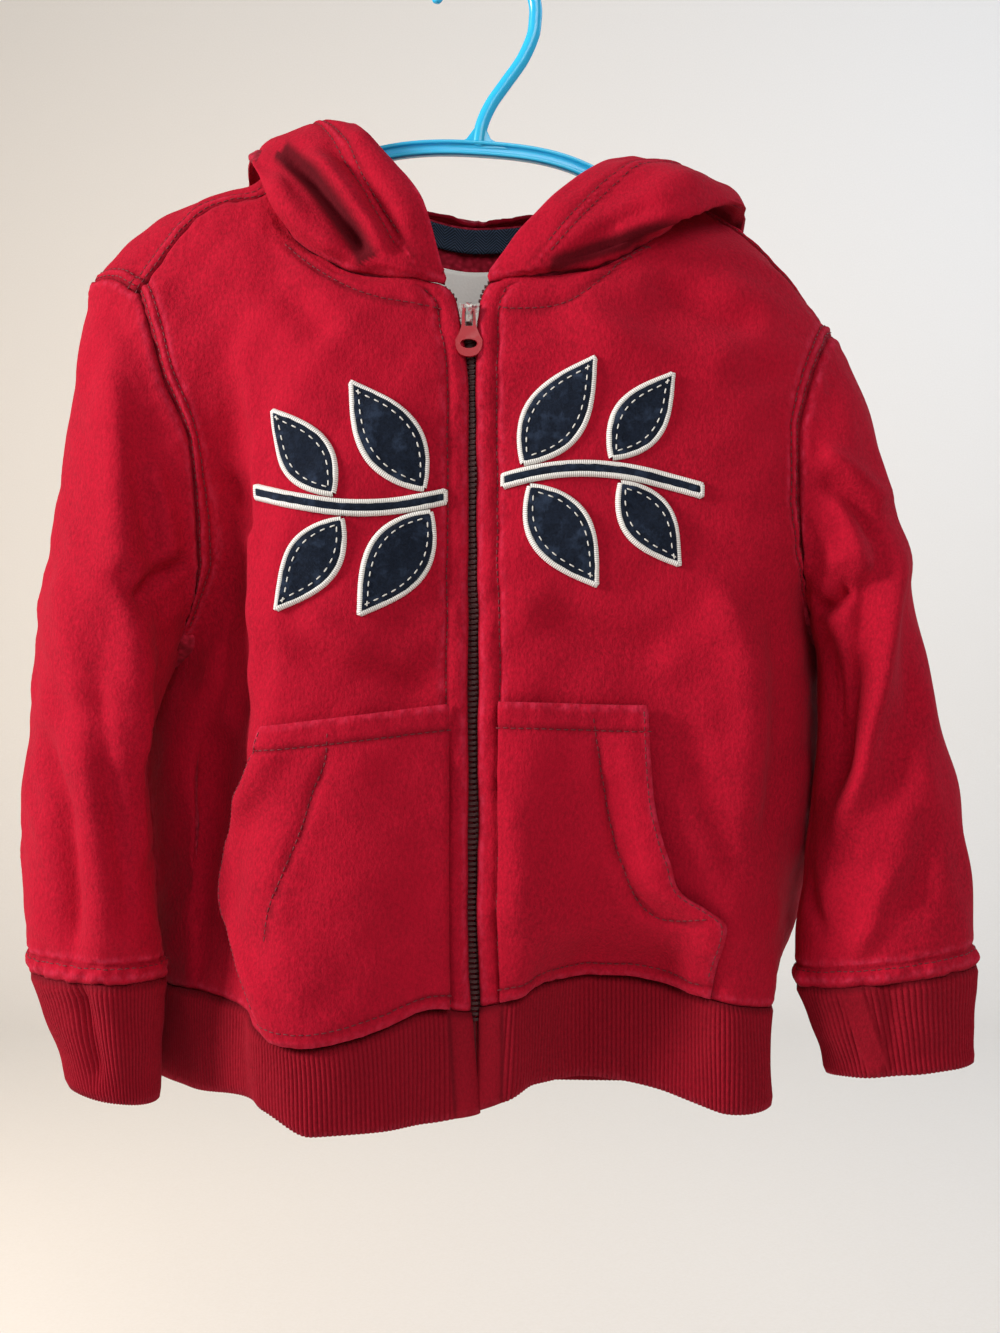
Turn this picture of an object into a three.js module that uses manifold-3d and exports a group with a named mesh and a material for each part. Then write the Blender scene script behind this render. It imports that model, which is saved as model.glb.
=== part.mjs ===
// A child's zip-up hooded sweatshirt hanging on a plastic hanger.
// Millimetres, +Z up, the viewer looks along +Y at the front.
// The origin is the inner top of the hanger's hook, where a rail carries it.
// Right and left are the wearer's: the wearer's right is at -X.

import * as THREE from 'three';
import { mergeVertices } from 'three/addons/utils/BufferGeometryUtils.js';
import Module from 'manifold-3d';

const wasm = await Module();
wasm.setup();

// Driving sizes of the cloth
const CLOTH = 2.0;
const TAPE_CLOTH = 1.1;
const FELT = 1.5;
const SEAM_GAP = 0.4;
const LIFT = 0.75;
const POCKET_LIFT = 2.1;
const HOOD_STAND = 1.7;
const SHOULDER_GAP = 0.35;
const TAPE_BEHIND = 1.1;
const ARMHOLE_GAP = 0.3;
const UNDERARM_GAP = 2.4;
const RIB_PITCH = 2.1;
const RIB_HEIGHT = 0.7;
const CUFF_GATHER = 0.92;
const TAPE_REACH = 2.6;
const CHAIN_GAP = 0.4;

// Driving sizes of the hanger
const HOOK_BORE = 20.5;
const BAR_HEIGHT = 6.6;
const BAR_DEPTH = 5.6;
const BAR_WEB = 2.6;
const FLANGE = 1.7;
const BAR_SKEW = 0.02;
const HOOK_WIRE = 6.2;
const HOOK_DEPTH = 5.2;
const HOOK_TURN = 168;
const HOOK_START = -4;
const TIP_SCALE = 0.6;
const END_SCALE = 0.72;
const BAR = [
  { x: -151, z: -133 }, { x: -118, z: -118 }, { x: -86, z: -101 }, { x: -45, z: -87 }, { x: -3.5, z: -85 },
  { x: 40, z: -92 }, { x: 84, z: -116 }, { x: 118, z: -136 }, { x: 147, z: -160 },
];
const STEM = [
  { x: -3.5, z: -84 }, { x: -1.8, z: -74 }, { x: 2.6, z: -64 }, { x: 9.6, z: -54 }, { x: 17.3, z: -43 },
  { x: 22.2, z: -32 }, { x: 23.5, z: -24 },
];

// Driving sizes of the zip
const SLIDER_X = -7;
const SLIDER_Z = -172;
const SLIDER_FRONT_Y = -37.6;
const PULL_LENGTH = 21.5;
const PULL_WIDTH = 12;
const PULL_THICK = 1.5;
const PULL_REST = 7;
const PIVOT_Y = -39.5;
const PIVOT_Z = -169.7;
const PLATE_BACK_Y = -30.9;
const FRONT_PLATE = 1.3;
const BACK_PLATE = 1.2;
const ARCH_WIDTH = 2.6;
const POST = { width: 1.5, depth: 6.8, height: 2.2, y: -33.8, rise: 4.2 };
const EYE = { middle: -15.6, halfWidth: 3.9, halfHeight: 2.2, sides: 14 };
const SLOT = { halfWidth: 1.75, top: -0.75, bottom: -7.6 };

// Front panel on the wearer's right. A row is a section across the panel, from the zip to the side
// seam and then the armhole; each column is a place [x, y, z] on the outside of the cloth.
const FRONT_COLUMNS = ['zip', 'strip', 'inner', 'middle', 'ridge', 'valley', 'flank', 'side'];
const FRONT_RIGHT = [
  { zip: [-4, -42, -526], strip: [-24, -47, -529], inner: [-45, -59, -529], middle: [-74, -67, -529],
    ridge: [-96, -52, -522], valley: [-108, -33, -521], flank: [-130, -13, -524], side: [-163, 27, -526] },
  { zip: [-6, -41, -481], strip: [-24, -46, -479], inner: [-47, -59, -486], middle: [-76, -68, -491],
    ridge: [-98, -56, -487], valley: [-109, -33, -481], flank: [-132, -10, -479], side: [-164, 28, -481] },
  { zip: [-7, -45, -440], strip: [-30, -52, -438], inner: [-60, -62, -439], middle: [-84, -63, -439],
    ridge: [-98, -53, -439], valley: [-111, -27, -441], flank: [-133, -9, -441], side: [-165, 30, -442] },
  { zip: [-7, -47, -383], strip: [-30, -52, -383], inner: [-60, -58, -384], middle: [-86, -57, -384],
    ridge: [-101, -46, -384], valley: [-113, -22, -384], flank: [-134, -8, -383], side: [-166, 30, -382] },
  { zip: [-7.5, -46, -331], strip: [-32, -50, -331], inner: [-62, -56, -329], middle: [-88, -56, -327],
    ridge: [-104, -45, -325], valley: [-115, -22, -323], flank: [-130, -12, -324], side: [-151, 22, -337] },
  { zip: [-7, -45, -305], strip: [-32, -50, -303], inner: [-62, -55, -301], middle: [-88, -55, -299],
    ridge: [-104, -44, -298], valley: [-114, -25, -297], flank: [-127, -13, -301], side: [-143, 2, -313] },
  { zip: [-7, -44, -278], strip: [-32, -50, -278], inner: [-63, -55, -275], middle: [-88, -54, -272],
    ridge: [-104, -43, -269], valley: [-112, -32, -267], flank: [-121, -24, -270], side: [-132, -16, -279] },
  { zip: [-7, -42, -223], strip: [-34, -48, -221], inner: [-64, -50, -215], middle: [-87, -47, -210],
    ridge: [-105, -38, -206], valley: [-114, -31, -207], flank: [-124, -28, -213], side: [-134, -25, -228] },
  { zip: [-10, -38, -180], strip: [-36, -44, -180], inner: [-64, -45, -176], middle: [-86, -41, -172],
    ridge: [-103, -35, -170], valley: [-115, -30, -174], flank: [-130, -28, -182], side: [-146, -27, -197] },
  { zip: [-18, -33.5, -157], strip: [-45, -40, -162], inner: [-69, -41, -162], middle: [-89, -37, -161],
    ridge: [-104, -33, -160], valley: [-118, -29, -164], flank: [-134, -26, -170], side: [-151, -25, -180] },
  { zip: [-62, -34.5, -151], strip: [-76, -35, -150], inner: [-88, -34, -149], middle: [-100, -31, -148],
    ridge: [-112, -28, -149], valley: [-124, -26, -152], flank: [-138, -24, -158], side: [-155, -23, -167] },
  { zip: [-86, -24, -134], strip: [-96, -25, -134], inner: [-105, -24, -134], middle: [-114, -23, -135],
    ridge: [-123, -22, -138], valley: [-133, -21, -143], flank: [-144, -20.5, -150], side: [-157, -21, -161] },
  { zip: [-99, -12, -108], strip: [-108, -12.5, -109.5], inner: [-117, -13, -112], middle: [-126, -13.5, -116],
    ridge: [-134, -14.5, -121], valley: [-142, -16, -129], flank: [-150, -17.5, -141], side: [-159, -19, -157] },
];

// Front panel on the wearer's left, with the same columns
const FRONT_LEFT = [
  { zip: [-1, -42, -525], strip: [10, -42, -521], inner: [24, -28, -517], middle: [48, -10, -518],
    ridge: [80, -18, -522], valley: [108, -34, -529], flank: [128, -24, -530], side: [133, 12, -531] },
  { zip: [-2, -40, -479], strip: [12, -42, -476], inner: [26, -28, -471], middle: [48, -10, -470],
    ridge: [80, -16, -473], valley: [108, -34, -479], flank: [128, -24, -483], side: [136, 16, -486] },
  { zip: [-3, -44, -440], strip: [16, -50, -438], inner: [32, -42, -439], middle: [52, -32, -440],
    ridge: [80, -36, -439], valley: [108, -41, -440], flank: [131, -22, -447], side: [152, 29, -450] },
  { zip: [-3, -46, -382], strip: [16, -52, -382], inner: [36, -44, -383], middle: [58, -39, -383],
    ridge: [84, -42, -383], valley: [110, -41, -384], flank: [133, -22, -386], side: [160, 32, -390] },
  { zip: [-2.5, -46, -330], strip: [18, -50, -329], inner: [40, -47, -327], middle: [64, -45, -324],
    ridge: [90, -44, -321], valley: [114, -40, -318], flank: [135, -25, -318], side: [160, 30, -333] },
  { zip: [-3, -45, -303], strip: [18, -50, -303], inner: [42, -47, -302], middle: [66, -45, -299],
    ridge: [92, -43, -296], valley: [114, -39, -293], flank: [133, -30, -291], side: [150, -2, -298] },
  { zip: [-3.5, -44, -278], strip: [18, -49, -278], inner: [44, -47, -275], middle: [70, -45, -272],
    ridge: [95, -43, -270], valley: [115, -40, -268], flank: [130, -35, -267], side: [144, -23, -271] },
  { zip: [-4, -42, -223], strip: [19, -46, -222], inner: [45, -45, -217], middle: [70, -43, -212],
    ridge: [94, -40, -209], valley: [112, -37, -207], flank: [127, -33, -210], side: [142, -27, -226] },
  { zip: [-3.5, -38.5, -183], strip: [17, -42, -182], inner: [42, -42, -179], middle: [66, -40, -176],
    ridge: [89, -36, -174], valley: [108, -33, -174], flank: [128, -28, -181], side: [148, -22, -201] },
  { zip: [2, -33.5, -156], strip: [30, -37, -159], inner: [53, -37, -159], middle: [75, -34, -157],
    ridge: [95, -30, -157], valley: [113, -27, -159], flank: [132, -23, -168], side: [152, -18, -190] },
  { zip: [50, -32.5, -150], strip: [63, -31, -148], inner: [77, -29, -147], middle: [92, -26, -146],
    ridge: [107, -23, -147], valley: [121, -20, -150], flank: [137, -17, -160], side: [156, -14, -182] },
  { zip: [82, -18, -128], strip: [90, -17, -128], inner: [99, -16, -130], middle: [109, -14, -132],
    ridge: [119, -12, -136], valley: [130, -10, -142], flank: [144, -8, -153], side: [160, -6, -175] },
  { zip: [84, 4, -103], strip: [94, 4.5, -107], inner: [104, 5, -112], middle: [115, 6, -118],
    ridge: [126, 7, -126], valley: [138, 7, -136], flank: [151, 7.5, -149], side: [165, 8, -171] },
];

// Back panel. The lower rows are level sections with one bow from side seam to side seam; the upper
// rows pass over the shoulders to the shoulder seams, and round the back of the neck.
const BACK_COLUMNS = ['armRight', 'shoulderRight', 'neckRight', 'turnRight', 'backRight', 'centre',
  'backLeft', 'turnLeft', 'neckLeft', 'shoulderLeft', 'armLeft'];
const BACK_SHARES = [0, 0.12, 0.22, 0.28, 0.38, 0.5, 0.64, 0.74, 0.79, 0.9, 1];
const BACK_LOWER = [
  { right: [-163, 27, -526], middle: [27, -529], left: [133, 12, -531] },
  { right: [-164, 28, -481], middle: [27, -484], left: [136, 16, -486] },
  { right: [-165, 30, -442], middle: [28, -446], left: [152, 29, -450] },
  { right: [-166, 30, -382], middle: [30, -388], left: [160, 32, -390] },
  { right: [-151, 22, -337], middle: [31, -336], left: [160, 30, -333] },
  { right: [-143, 2, -313], middle: [31, -308], left: [150, -2, -298] },
  { right: [-142, 20, -277], middle: [31, -274], left: [155, 18, -270] },
  { right: [-149, 27, -232], middle: [31, -232], left: [156, 26, -232] },
  { right: [-160, 29, -195], middle: [31, -194], left: [160, 27, -200] },
];
const BACK_UPPER = [
  { armRight: [-172, 25, -168], shoulderRight: [-140, 28, -156], neckRight: [-114, 28, -150],
    turnRight: [-94, 29, -149], backRight: [-58, 31, -154], centre: [-6, 31, -160],
    backLeft: [46, 31, -157], turnLeft: [78, 29, -151], neckLeft: [94, 28, -151],
    shoulderLeft: [128, 26, -162], armLeft: [163, 20, -183] },
  { armRight: [-186, 4, -147], shoulderRight: [-150, 6, -115], neckRight: [-118, 9, -103],
    turnRight: [-101, 12, -98], backRight: [-62, 27, -113], centre: [-5, 31, -134], backLeft: [52, 27, -121],
    turnLeft: [80, 17, -108], neckLeft: [95, 14, -111],
    shoulderLeft: [135, 13, -134], armLeft: [165, 14, -177] },
  { armRight: [-174, -10, -148], shoulderRight: [-138, -5, -115], neckRight: [-110, -3, -102],
    turnRight: [-99, 5, -95], backRight: [-61, 26, -105], centre: [-4, 31, -123], backLeft: [51, 26, -114],
    turnLeft: [79, 14, -105], neckLeft: [90, 9, -107],
    shoulderLeft: [131, 10, -130], armLeft: [165.5, 11, -173.5] },
  { armRight: [-159, -19, -157], shoulderRight: [-128, -14, -117], neckRight: [-99, -12, -108],
    turnRight: [-98, 3, -92], backRight: [-60, 24.5, -99], centre: [-4, 30, -114], backLeft: [50, 25, -108],
    turnLeft: [78, 12, -102], neckLeft: [84, 4, -103],
    shoulderLeft: [125, 7, -126], armLeft: [165, 8, -171] },
];
const HEM_ROW = 1;
const UNDERARM_ROW = 5;

// Sleeves. A row is one ring: its outermost and innermost places, how far it swells to the front and
// to the back, and how far the front of the ring leans towards the body.
const SLEEVE_RIGHT = [
  { outer: [-190, 1, -178], inner: [-146, 2, -324], front: 36, back: 34, lean: 8 },
  { outer: [-197, -2, -228], inner: [-152, -2, -342], front: 38, back: 36, lean: 14 },
  { outer: [-205, -4, -285], inner: [-156, -6, -362], front: 39, back: 38, lean: 18 },
  { outer: [-212, -5, -340], inner: [-158, -8, -386], front: 38, back: 39, lean: 18 },
  { outer: [-216, -5, -390], inner: [-156, -9, -416], front: 37, back: 39, lean: 16 },
  { outer: [-216, -5, -432], inner: [-151, -9, -445], front: 36, back: 37, lean: 14 },
  { outer: [-213, -5, -469], inner: [-148, -8, -470], front: 34, back: 34, lean: 10 },
];
const SLEEVE_LEFT = [
  { outer: [173, 2, -188], inner: [152, -2, -308], front: 30, back: 31, lean: 4 },
  { outer: [186, 1, -228], inner: [155, -1, -325], front: 31, back: 31, lean: 4 },
  { outer: [198, -1, -282], inner: [156, 0, -350], front: 31, back: 30, lean: 4 },
  { outer: [209, -3, -335], inner: [154, 0, -382], front: 30, back: 29, lean: 2 },
  { outer: [219, -5, -385], inner: [151, -2, -415], front: 29, back: 28, lean: 0 },
  { outer: [226, -6, -428], inner: [147, -4, -447], front: 28, back: 27, lean: 0 },
  { outer: [228, -8, -465], inner: [144, -6, -476], front: 25, back: 24, lean: 0 },
];
const CUFF_RIGHT_END = { outer: [-194, -6, -522], inner: [-151, -7, -527], front: 27, back: 26, lean: 6 };
const CUFF_LEFT_END = { outer: [227, -8, -511], inner: [159, -7, -517], front: 17, back: 17, lean: 0 };

// Hood. A row is a profile of the cloth, from its place on the neck seam to the edge of the opening.
// The neck place is a row of the front panel's edge, or a column of the back panel's top.
const HOOD_COLUMNS = ['rise', 'swell', 'crest', 'turn', 'roll', 'edge'];
const HOOD_RIGHT = [
  { front: 9, rise: [-17.2, -33.1, -154], swell: [-17.4, -33.2, -153.3],
    crest: [-17.6, -33.2, -152.6], turn: [-17.9, -33.2, -152], roll: [-18.2, -33.2, -151.3],
    edge: [-18.5, -33.2, -150.6] },
  { front: 9.5, rise: [-39.5, -39.5, -150], swell: [-40, -39.5, -142], crest: [-38.5, -38, -134],
    turn: [-35.5, -36, -127], roll: [-32, -34, -122], edge: [-28, -32, -118] },
  { front: 10.1, rise: [-71, -36.5, -138], swell: [-75, -33, -120], crest: [-74, -26, -103],
    turn: [-68, -20, -91], roll: [-58, -17, -87], edge: [-46, -18, -94] },
  { front: 11.3, rise: [-99, -20, -112], swell: [-105, -6, -92], crest: [-102, 8, -79],
    turn: [-91, 12, -72], roll: [-77, 6, -71], edge: [-63, -3, -75] },
  { back: 2, rise: [-106, -8, -98], swell: [-112, 4, -86], crest: [-108, 18, -77], turn: [-96, 22, -71],
    roll: [-82, 17, -71], edge: [-69, 7, -74] },
  { back: 3, rise: [-110, 7, -84], swell: [-116, 16, -82], crest: [-112, 26, -76],
    turn: [-100, 29, -71], roll: [-87, 25, -72], edge: [-74, 16, -74] },
  { back: 3.4, rise: [-104, 27, -88], swell: [-116, 42, -118], crest: [-112, 58, -172],
    turn: [-99, 72, -168], roll: [-90, 66, -112], edge: [-82, 44, -86] },
  { back: 4, rise: [-66, 37, -98], swell: [-84, 45, -176], crest: [-80, 54, -256],
    turn: [-66, 80, -256], roll: [-62, 92, -190], edge: [-58, 82, -128] },
  { back: 5, rise: [-4, 40, -110], swell: [-4, 45, -196], crest: [-4, 54, -292],
    turn: [-4, 82, -296], roll: [-4, 98, -224], edge: [-4, 94, -152] },
];
const HOOD_LEFT = [
  { front: 9, rise: [1.2, -33.1, -153], swell: [1.4, -33.2, -152.4], crest: [1.6, -33.2, -151.8],
    turn: [1.8, -33.2, -151.2], roll: [2.0, -33.2, -150.6], edge: [2.2, -33.2, -150] },
  { front: 9.5, rise: [25.5, -39, -150], swell: [25, -39.5, -144], crest: [23, -38, -138],
    turn: [20, -36, -134.5], roll: [17, -34.5, -133.5], edge: [13, -33, -136] },
  { front: 10.1, rise: [57.5, -38.5, -141], swell: [57.5, -38, -130], crest: [52, -33, -119],
    turn: [45, -28, -112.5], roll: [38.5, -25, -111.5], edge: [32, -24.5, -114] },
  { front: 11, rise: [90, -33, -126], swell: [96, -31, -112], crest: [89, -22, -101],
    turn: [78, -14, -95], roll: [67, -9, -93], edge: [56, -7, -93.5] },
  { back: 8, rise: [106, -9, -114], swell: [123, 3, -113], crest: [119, 13, -102],
    turn: [103, 15, -94], roll: [88, 12, -89], edge: [73, 8, -87] },
  { back: 7, rise: [101, 26, -103], swell: [116, 44, -140], crest: [106, 60, -190],
    turn: [93, 73, -176], roll: [84, 66, -122], edge: [78, 42, -96] },
  { back: 6, rise: [60, 38, -106], swell: [76, 46, -180], crest: [72, 55, -258],
    turn: [58, 81, -258], roll: [54, 93, -192], edge: [50, 82, -132] },
  { back: 5, rise: [-4, 40, -110], swell: [-4, 45, -196], crest: [-4, 54, -292],
    turn: [-4, 82, -296], roll: [-4, 98, -224], edge: [-4, 94, -152] },
];

// Pockets. A row gives the height and how far the pocket reaches from the zip at that height.
const POCKET_RIGHT = { inner: -16, bunching: 1.6, rows: [
  { z: -480, reach: -94 }, { z: -466, reach: -99 }, { z: -450, reach: -107 }, { z: -440, reach: -116 },
  { z: -428, reach: -117.5 }, { z: -412, reach: -114 }, { z: -395, reach: -108 }, { z: -376, reach: -101 },
  { z: -354, reach: -95.5 } ], topInner: -344.5, bottomInner: -474 };
const POCKET_LEFT = { inner: 7, bunching: 1, rows: [
  { z: -471, reach: 102 }, { z: -458, reach: 104 }, { z: -441, reach: 107 }, { z: -434, reach: 99 },
  { z: -428, reach: 89 }, { z: -414, reach: 82 }, { z: -396, reach: 77 }, { z: -372, reach: 74 },
  { z: -345, reach: 72 } ], topInner: -343.5, bottomInner: -470 };

// Felt applique on the chest: a wavy vine and its leaves. Each leaf has the place of its stalk on
// the vine, the side of the vine, its direction in degrees, its length and its width.
const VINE = { z: -250, swing: 9, middle: -5, reach: 100, width: 5, stalk: 5.5 };
const LEAVES = [
  { name: 'applique_leaf_1', x: -27, side: 1, turn: 124, length: 56, width: 26 },
  { name: 'applique_leaf_2', x: -24, side: -1, turn: 236, length: 54, width: 26 },
  { name: 'applique_leaf_3', x: -66, side: 1, turn: 126, length: 46, width: 22 },
  { name: 'applique_leaf_4', x: -62, side: -1, turn: 234, length: 48, width: 22 },
  { name: 'applique_leaf_5', x: 17, side: 1, turn: 56, length: 56, width: 26 },
  { name: 'applique_leaf_6', x: 20, side: -1, turn: -56, length: 52, width: 26 },
  { name: 'applique_leaf_7', x: 56, side: 1, turn: 54, length: 46, width: 22 },
  { name: 'applique_leaf_8', x: 60, side: -1, turn: -54, length: 44, width: 22 },
];

// Tape and blank label inside the back neck: how far down the cloth, and across
const NECK_TAPE = { drops: [1, 13], xs: [-60, -40, -20, 0, 20, 40, 56] };
const LABEL = { drops: [22, 36, 52], xs: [-28, -8, 12] };

// Ends of the vine's two stems, which stop short of the zip
const STEMS = { right: [-102, -17.5], left: [8, 96] };

const vector = (p) => new THREE.Vector3(p[0], p[1], p[2]);
const mix = (a, b, t) => a.clone().lerp(b, t);

// Slope of a curve at a knot, kept flat at a crest and never steep enough to swing past a point
function easySlope(before, here, after, left, right) {
  const slope = (axis) => {
    const a = (here[axis] - before[axis]) / left;
    const b = (after[axis] - here[axis]) / right;
    if (a * b <= 0) return 0;
    const mean = (a * right + b * left) / (left + right);
    return Math.sign(mean) * Math.min(Math.abs(mean), 3 * Math.abs(a), 3 * Math.abs(b));
  };
  return new THREE.Vector3(slope('x'), slope('y'), slope('z'));
}

// Cubic curve through points, with knots spaced as the points are
function throughPoints(points, knots, t) {
  const last = points.length - 1;
  let i = 0;
  while (i < last - 1 && t > knots[i + 1]) i += 1;
  const h = knots[i + 1] - knots[i];
  const s = (t - knots[i]) / h;
  const slope = (k) => {
    if (k === 0) return points[1].clone().sub(points[0]).divideScalar(knots[1] - knots[0]);
    const left = knots[k] - knots[k - 1];
    if (k === last) return points[last].clone().sub(points[last - 1]).divideScalar(left);
    return easySlope(points[k - 1], points[k], points[k + 1], left, knots[k + 1] - knots[k]);
  };
  const s2 = s * s;
  const s3 = s2 * s;
  return points[i].clone().multiplyScalar(2 * s3 - 3 * s2 + 1)
    .addScaledVector(slope(i), (s3 - 2 * s2 + s) * h)
    .addScaledVector(points[i + 1], 3 * s2 - 2 * s3)
    .addScaledVector(slope(i + 1), (s3 - s2) * h);
}

// Knots from the mean distance between neighbouring lines of a net of points
function meanKnots(lines) {
  const knots = [0];
  for (let i = 1; i < lines[0].length; i += 1) {
    let sum = 0;
    for (const line of lines) sum += line[i].distanceTo(line[i - 1]);
    knots.push(knots[i - 1] + Math.max(sum / lines.length, 0.5));
  }
  return knots;
}

// A cloth surface from a net of points; column and row are counted in table columns and rows
class Cloth {
  constructor(net, rowKnots = meanKnots(net[0].map((_, c) => net.map((row) => row[c])))) {
    this.net = net;
    this.columnKnots = meanKnots(net);
    this.rowKnots = rowKnots;
    this.columns = net[0].length - 1;
    this.rows = net.length - 1;
  }

  static knotAt(knots, place) {
    const i = Math.min(Math.floor(place), knots.length - 2);
    return knots[i] + (knots[i + 1] - knots[i]) * (place - i);
  }

  at(column, row) {
    const u = Cloth.knotAt(this.columnKnots, column);
    const v = Cloth.knotAt(this.rowKnots, row);
    const line = this.net.map((points) => throughPoints(points, this.columnKnots, u));
    return throughPoints(line, this.rowKnots, v);
  }

  normal(column, row) {
    const step = 0.02;
    const a = this.at(Math.min(column + step, this.columns), row);
    const b = this.at(Math.max(column - step, 0), row);
    const c = this.at(column, Math.min(row + step, this.rows));
    const d = this.at(column, Math.max(row - step, 0));
    return a.sub(b).cross(c.sub(d)).normalize();
  }

  // The place whose x and z are given, found by steps down the slope
  find(x, z) {
    let best = [0, 0];
    let least = Infinity;
    for (let r = 0; r <= this.rows; r += 1) {
      for (let c = 0; c <= this.columns; c += 1) {
        const p = this.net[r][c];
        const away = (p.x - x) ** 2 + (p.z - z) ** 2;
        if (away < least) {
          least = away;
          best = [c, r];
        }
      }
    }
    let [column, row] = best;
    const step = 0.01;
    for (let turn = 0; turn < 14; turn += 1) {
      const p = this.at(column, row);
      const cStep = column > this.columns - step ? -step : step;
      const rStep = row > this.rows - step ? -step : step;
      const pc = this.at(column + cStep, row).sub(p).divideScalar(cStep);
      const pr = this.at(column, row + rStep).sub(p).divideScalar(rStep);
      const det = pc.x * pr.z - pr.x * pc.z;
      const dx = x - p.x;
      const dz = z - p.z;
      column += THREE.MathUtils.clamp((dx * pr.z - dz * pr.x) / det, -0.7, 0.7);
      row += THREE.MathUtils.clamp((pc.x * dz - pc.z * dx) / det, -0.7, 0.7);
      column = THREE.MathUtils.clamp(column, 0, this.columns);
      row = THREE.MathUtils.clamp(row, 0, this.rows);
    }
    return [column, row];
  }
}

function netOf(rows, columns) {
  return rows.map((row) => columns.map((name) => vector(row[name])));
}

function backNet() {
  const lower = BACK_LOWER.map(({ right, middle, left }) => BACK_SHARES.map((share) => {
    const p = mix(vector(right), vector(left), share);
    const bow = 1 - (2 * share - 1) ** 4;
    p.y += (middle[0] - p.y) * bow;
    p.z += (middle[1] - p.z) * bow;
    return p;
  }));
  return lower.concat(netOf(BACK_UPPER, BACK_COLUMNS));
}

// Every place from one table line to the next, with so many steps in each interval
function places(from, steps) {
  const list = [from];
  steps.forEach((count, i) => {
    for (let k = 1; k <= count; k += 1) list.push(from + i + k / count);
  });
  return list;
}

// Normals at the vertices of a grid; flip turns them over
function gridNormals(points, closed, flip) {
  const rows = points.length - 1;
  const columns = points[0].length;
  const wrap = (c) => (closed ? (c + columns) % columns : THREE.MathUtils.clamp(c, 0, columns - 1));
  return points.map((row, r) => row.map((_, c) => {
    const along = row[wrap(c + 1)].clone().sub(row[wrap(c - 1)]);
    const up = points[Math.min(r + 1, rows)][c].clone().sub(points[Math.max(r - 1, 0)][c]);
    return along.cross(up).normalize().multiplyScalar(flip ? -1 : 1);
  }));
}

// A grid of vertices of a cloth, with the outside's normals
function sample(cloth, columnPlaces, rowPlaces, flip) {
  const points = rowPlaces.map((row) => columnPlaces.map((column) => cloth.at(column, row)));
  return { points, normals: gridNormals(points, false, flip) };
}

// Where the rims of grids meet, all take the mean of their normals, so that the edges stay parallel
function shareNormals(grids) {
  const rims = grids.map(({ points, normals }) => {
    const rim = [];
    points.forEach((row, r) => row.forEach((p, c) => {
      const inside = r > 0 && r < points.length - 1 && c > 0 && c < row.length - 1;
      if (!inside) rim.push({ p, n: normals[r][c] });
    }));
    return rim;
  }).flat();
  const near = 0.05;
  const done = new Set();
  for (const first of rims) {
    if (done.has(first)) continue;
    const group = rims.filter(({ p }) => p.distanceTo(first.p) < near);
    const sum = new THREE.Vector3();
    group.forEach((item) => {
      sum.add(item.n);
      done.add(item);
    });
    sum.normalize();
    group.forEach((item) => item.n.copy(sum));
  }
}

// Draws the rim of a grid back from the seams by half of the gap
function drawBack(points, closed, amount) {
  const rows = points.length;
  const columns = points[0].length;
  const pull = (p, towards) => p.add(towards.clone().sub(p).setLength(amount));
  const copy = points.map((row) => row.map((p) => p.clone()));
  for (let c = 0; c < columns; c += 1) {
    pull(points[0][c], copy[1][c]);
    pull(points[rows - 1][c], copy[rows - 2][c]);
  }
  if (closed) return;
  for (let r = 0; r < rows; r += 1) {
    pull(points[r][0], copy[r][1]);
    pull(points[r][columns - 1], copy[r][columns - 2]);
  }
}

// A closed wall between an outer and an inner grid of the same size
function wallGeometry(outer, inner, closed) {
  const rows = outer.length;
  const columns = outer[0].length;
  const positions = [];
  for (const grid of [outer, inner]) {
    for (const row of grid) {
      for (const p of row) positions.push(p.x, p.y, p.z);
    }
  }
  const index = [];
  const at = (side, r, c) => side * rows * columns + r * columns + (c % columns);
  const quad = (a, b, c, d) => index.push(a, b, c, a, c, d);
  const across = closed ? columns : columns - 1;
  for (let r = 0; r < rows - 1; r += 1) {
    for (let c = 0; c < across; c += 1) {
      quad(at(0, r, c), at(0, r, c + 1), at(0, r + 1, c + 1), at(0, r + 1, c));
      quad(at(1, r, c), at(1, r + 1, c), at(1, r + 1, c + 1), at(1, r, c + 1));
    }
    if (!closed) {
      quad(at(0, r, 0), at(0, r + 1, 0), at(1, r + 1, 0), at(1, r, 0));
      quad(at(0, r, columns - 1), at(1, r, columns - 1), at(1, r + 1, columns - 1), at(0, r + 1, columns - 1));
    }
  }
  for (let c = 0; c < across; c += 1) {
    quad(at(0, 0, c), at(1, 0, c), at(1, 0, c + 1), at(0, 0, c + 1));
    quad(at(0, rows - 1, c), at(0, rows - 1, c + 1), at(1, rows - 1, c + 1), at(1, rows - 1, c));
  }
  return facingOut(positions, index);
}

function facingOut(positions, index) {
  let volume = 0;
  const p = (i) => new THREE.Vector3(positions[3 * i], positions[3 * i + 1], positions[3 * i + 2]);
  for (let i = 0; i < index.length; i += 3) {
    volume += p(index[i]).dot(p(index[i + 1]).cross(p(index[i + 2])));
  }
  if (volume < 0) {
    for (let i = 0; i < index.length; i += 3) {
      [index[i], index[i + 1]] = [index[i + 1], index[i]];
    }
  }
  const geometry = new THREE.BufferGeometry();
  geometry.setAttribute('position', new THREE.Float32BufferAttribute(positions, 3));
  geometry.setIndex(index);
  return geometry;
}

function offset({ points, normals }, distance) {
  return points.map((row, r) => row.map((p, c) => p.clone().addScaledVector(normals[r][c], distance)));
}

function clothWall(grid, closed, thickness = CLOTH) {
  drawBack(grid.points, closed, SEAM_GAP / 2);
  return wallGeometry(grid.points, offset(grid, -thickness), closed);
}

const model = new THREE.Group();

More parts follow.
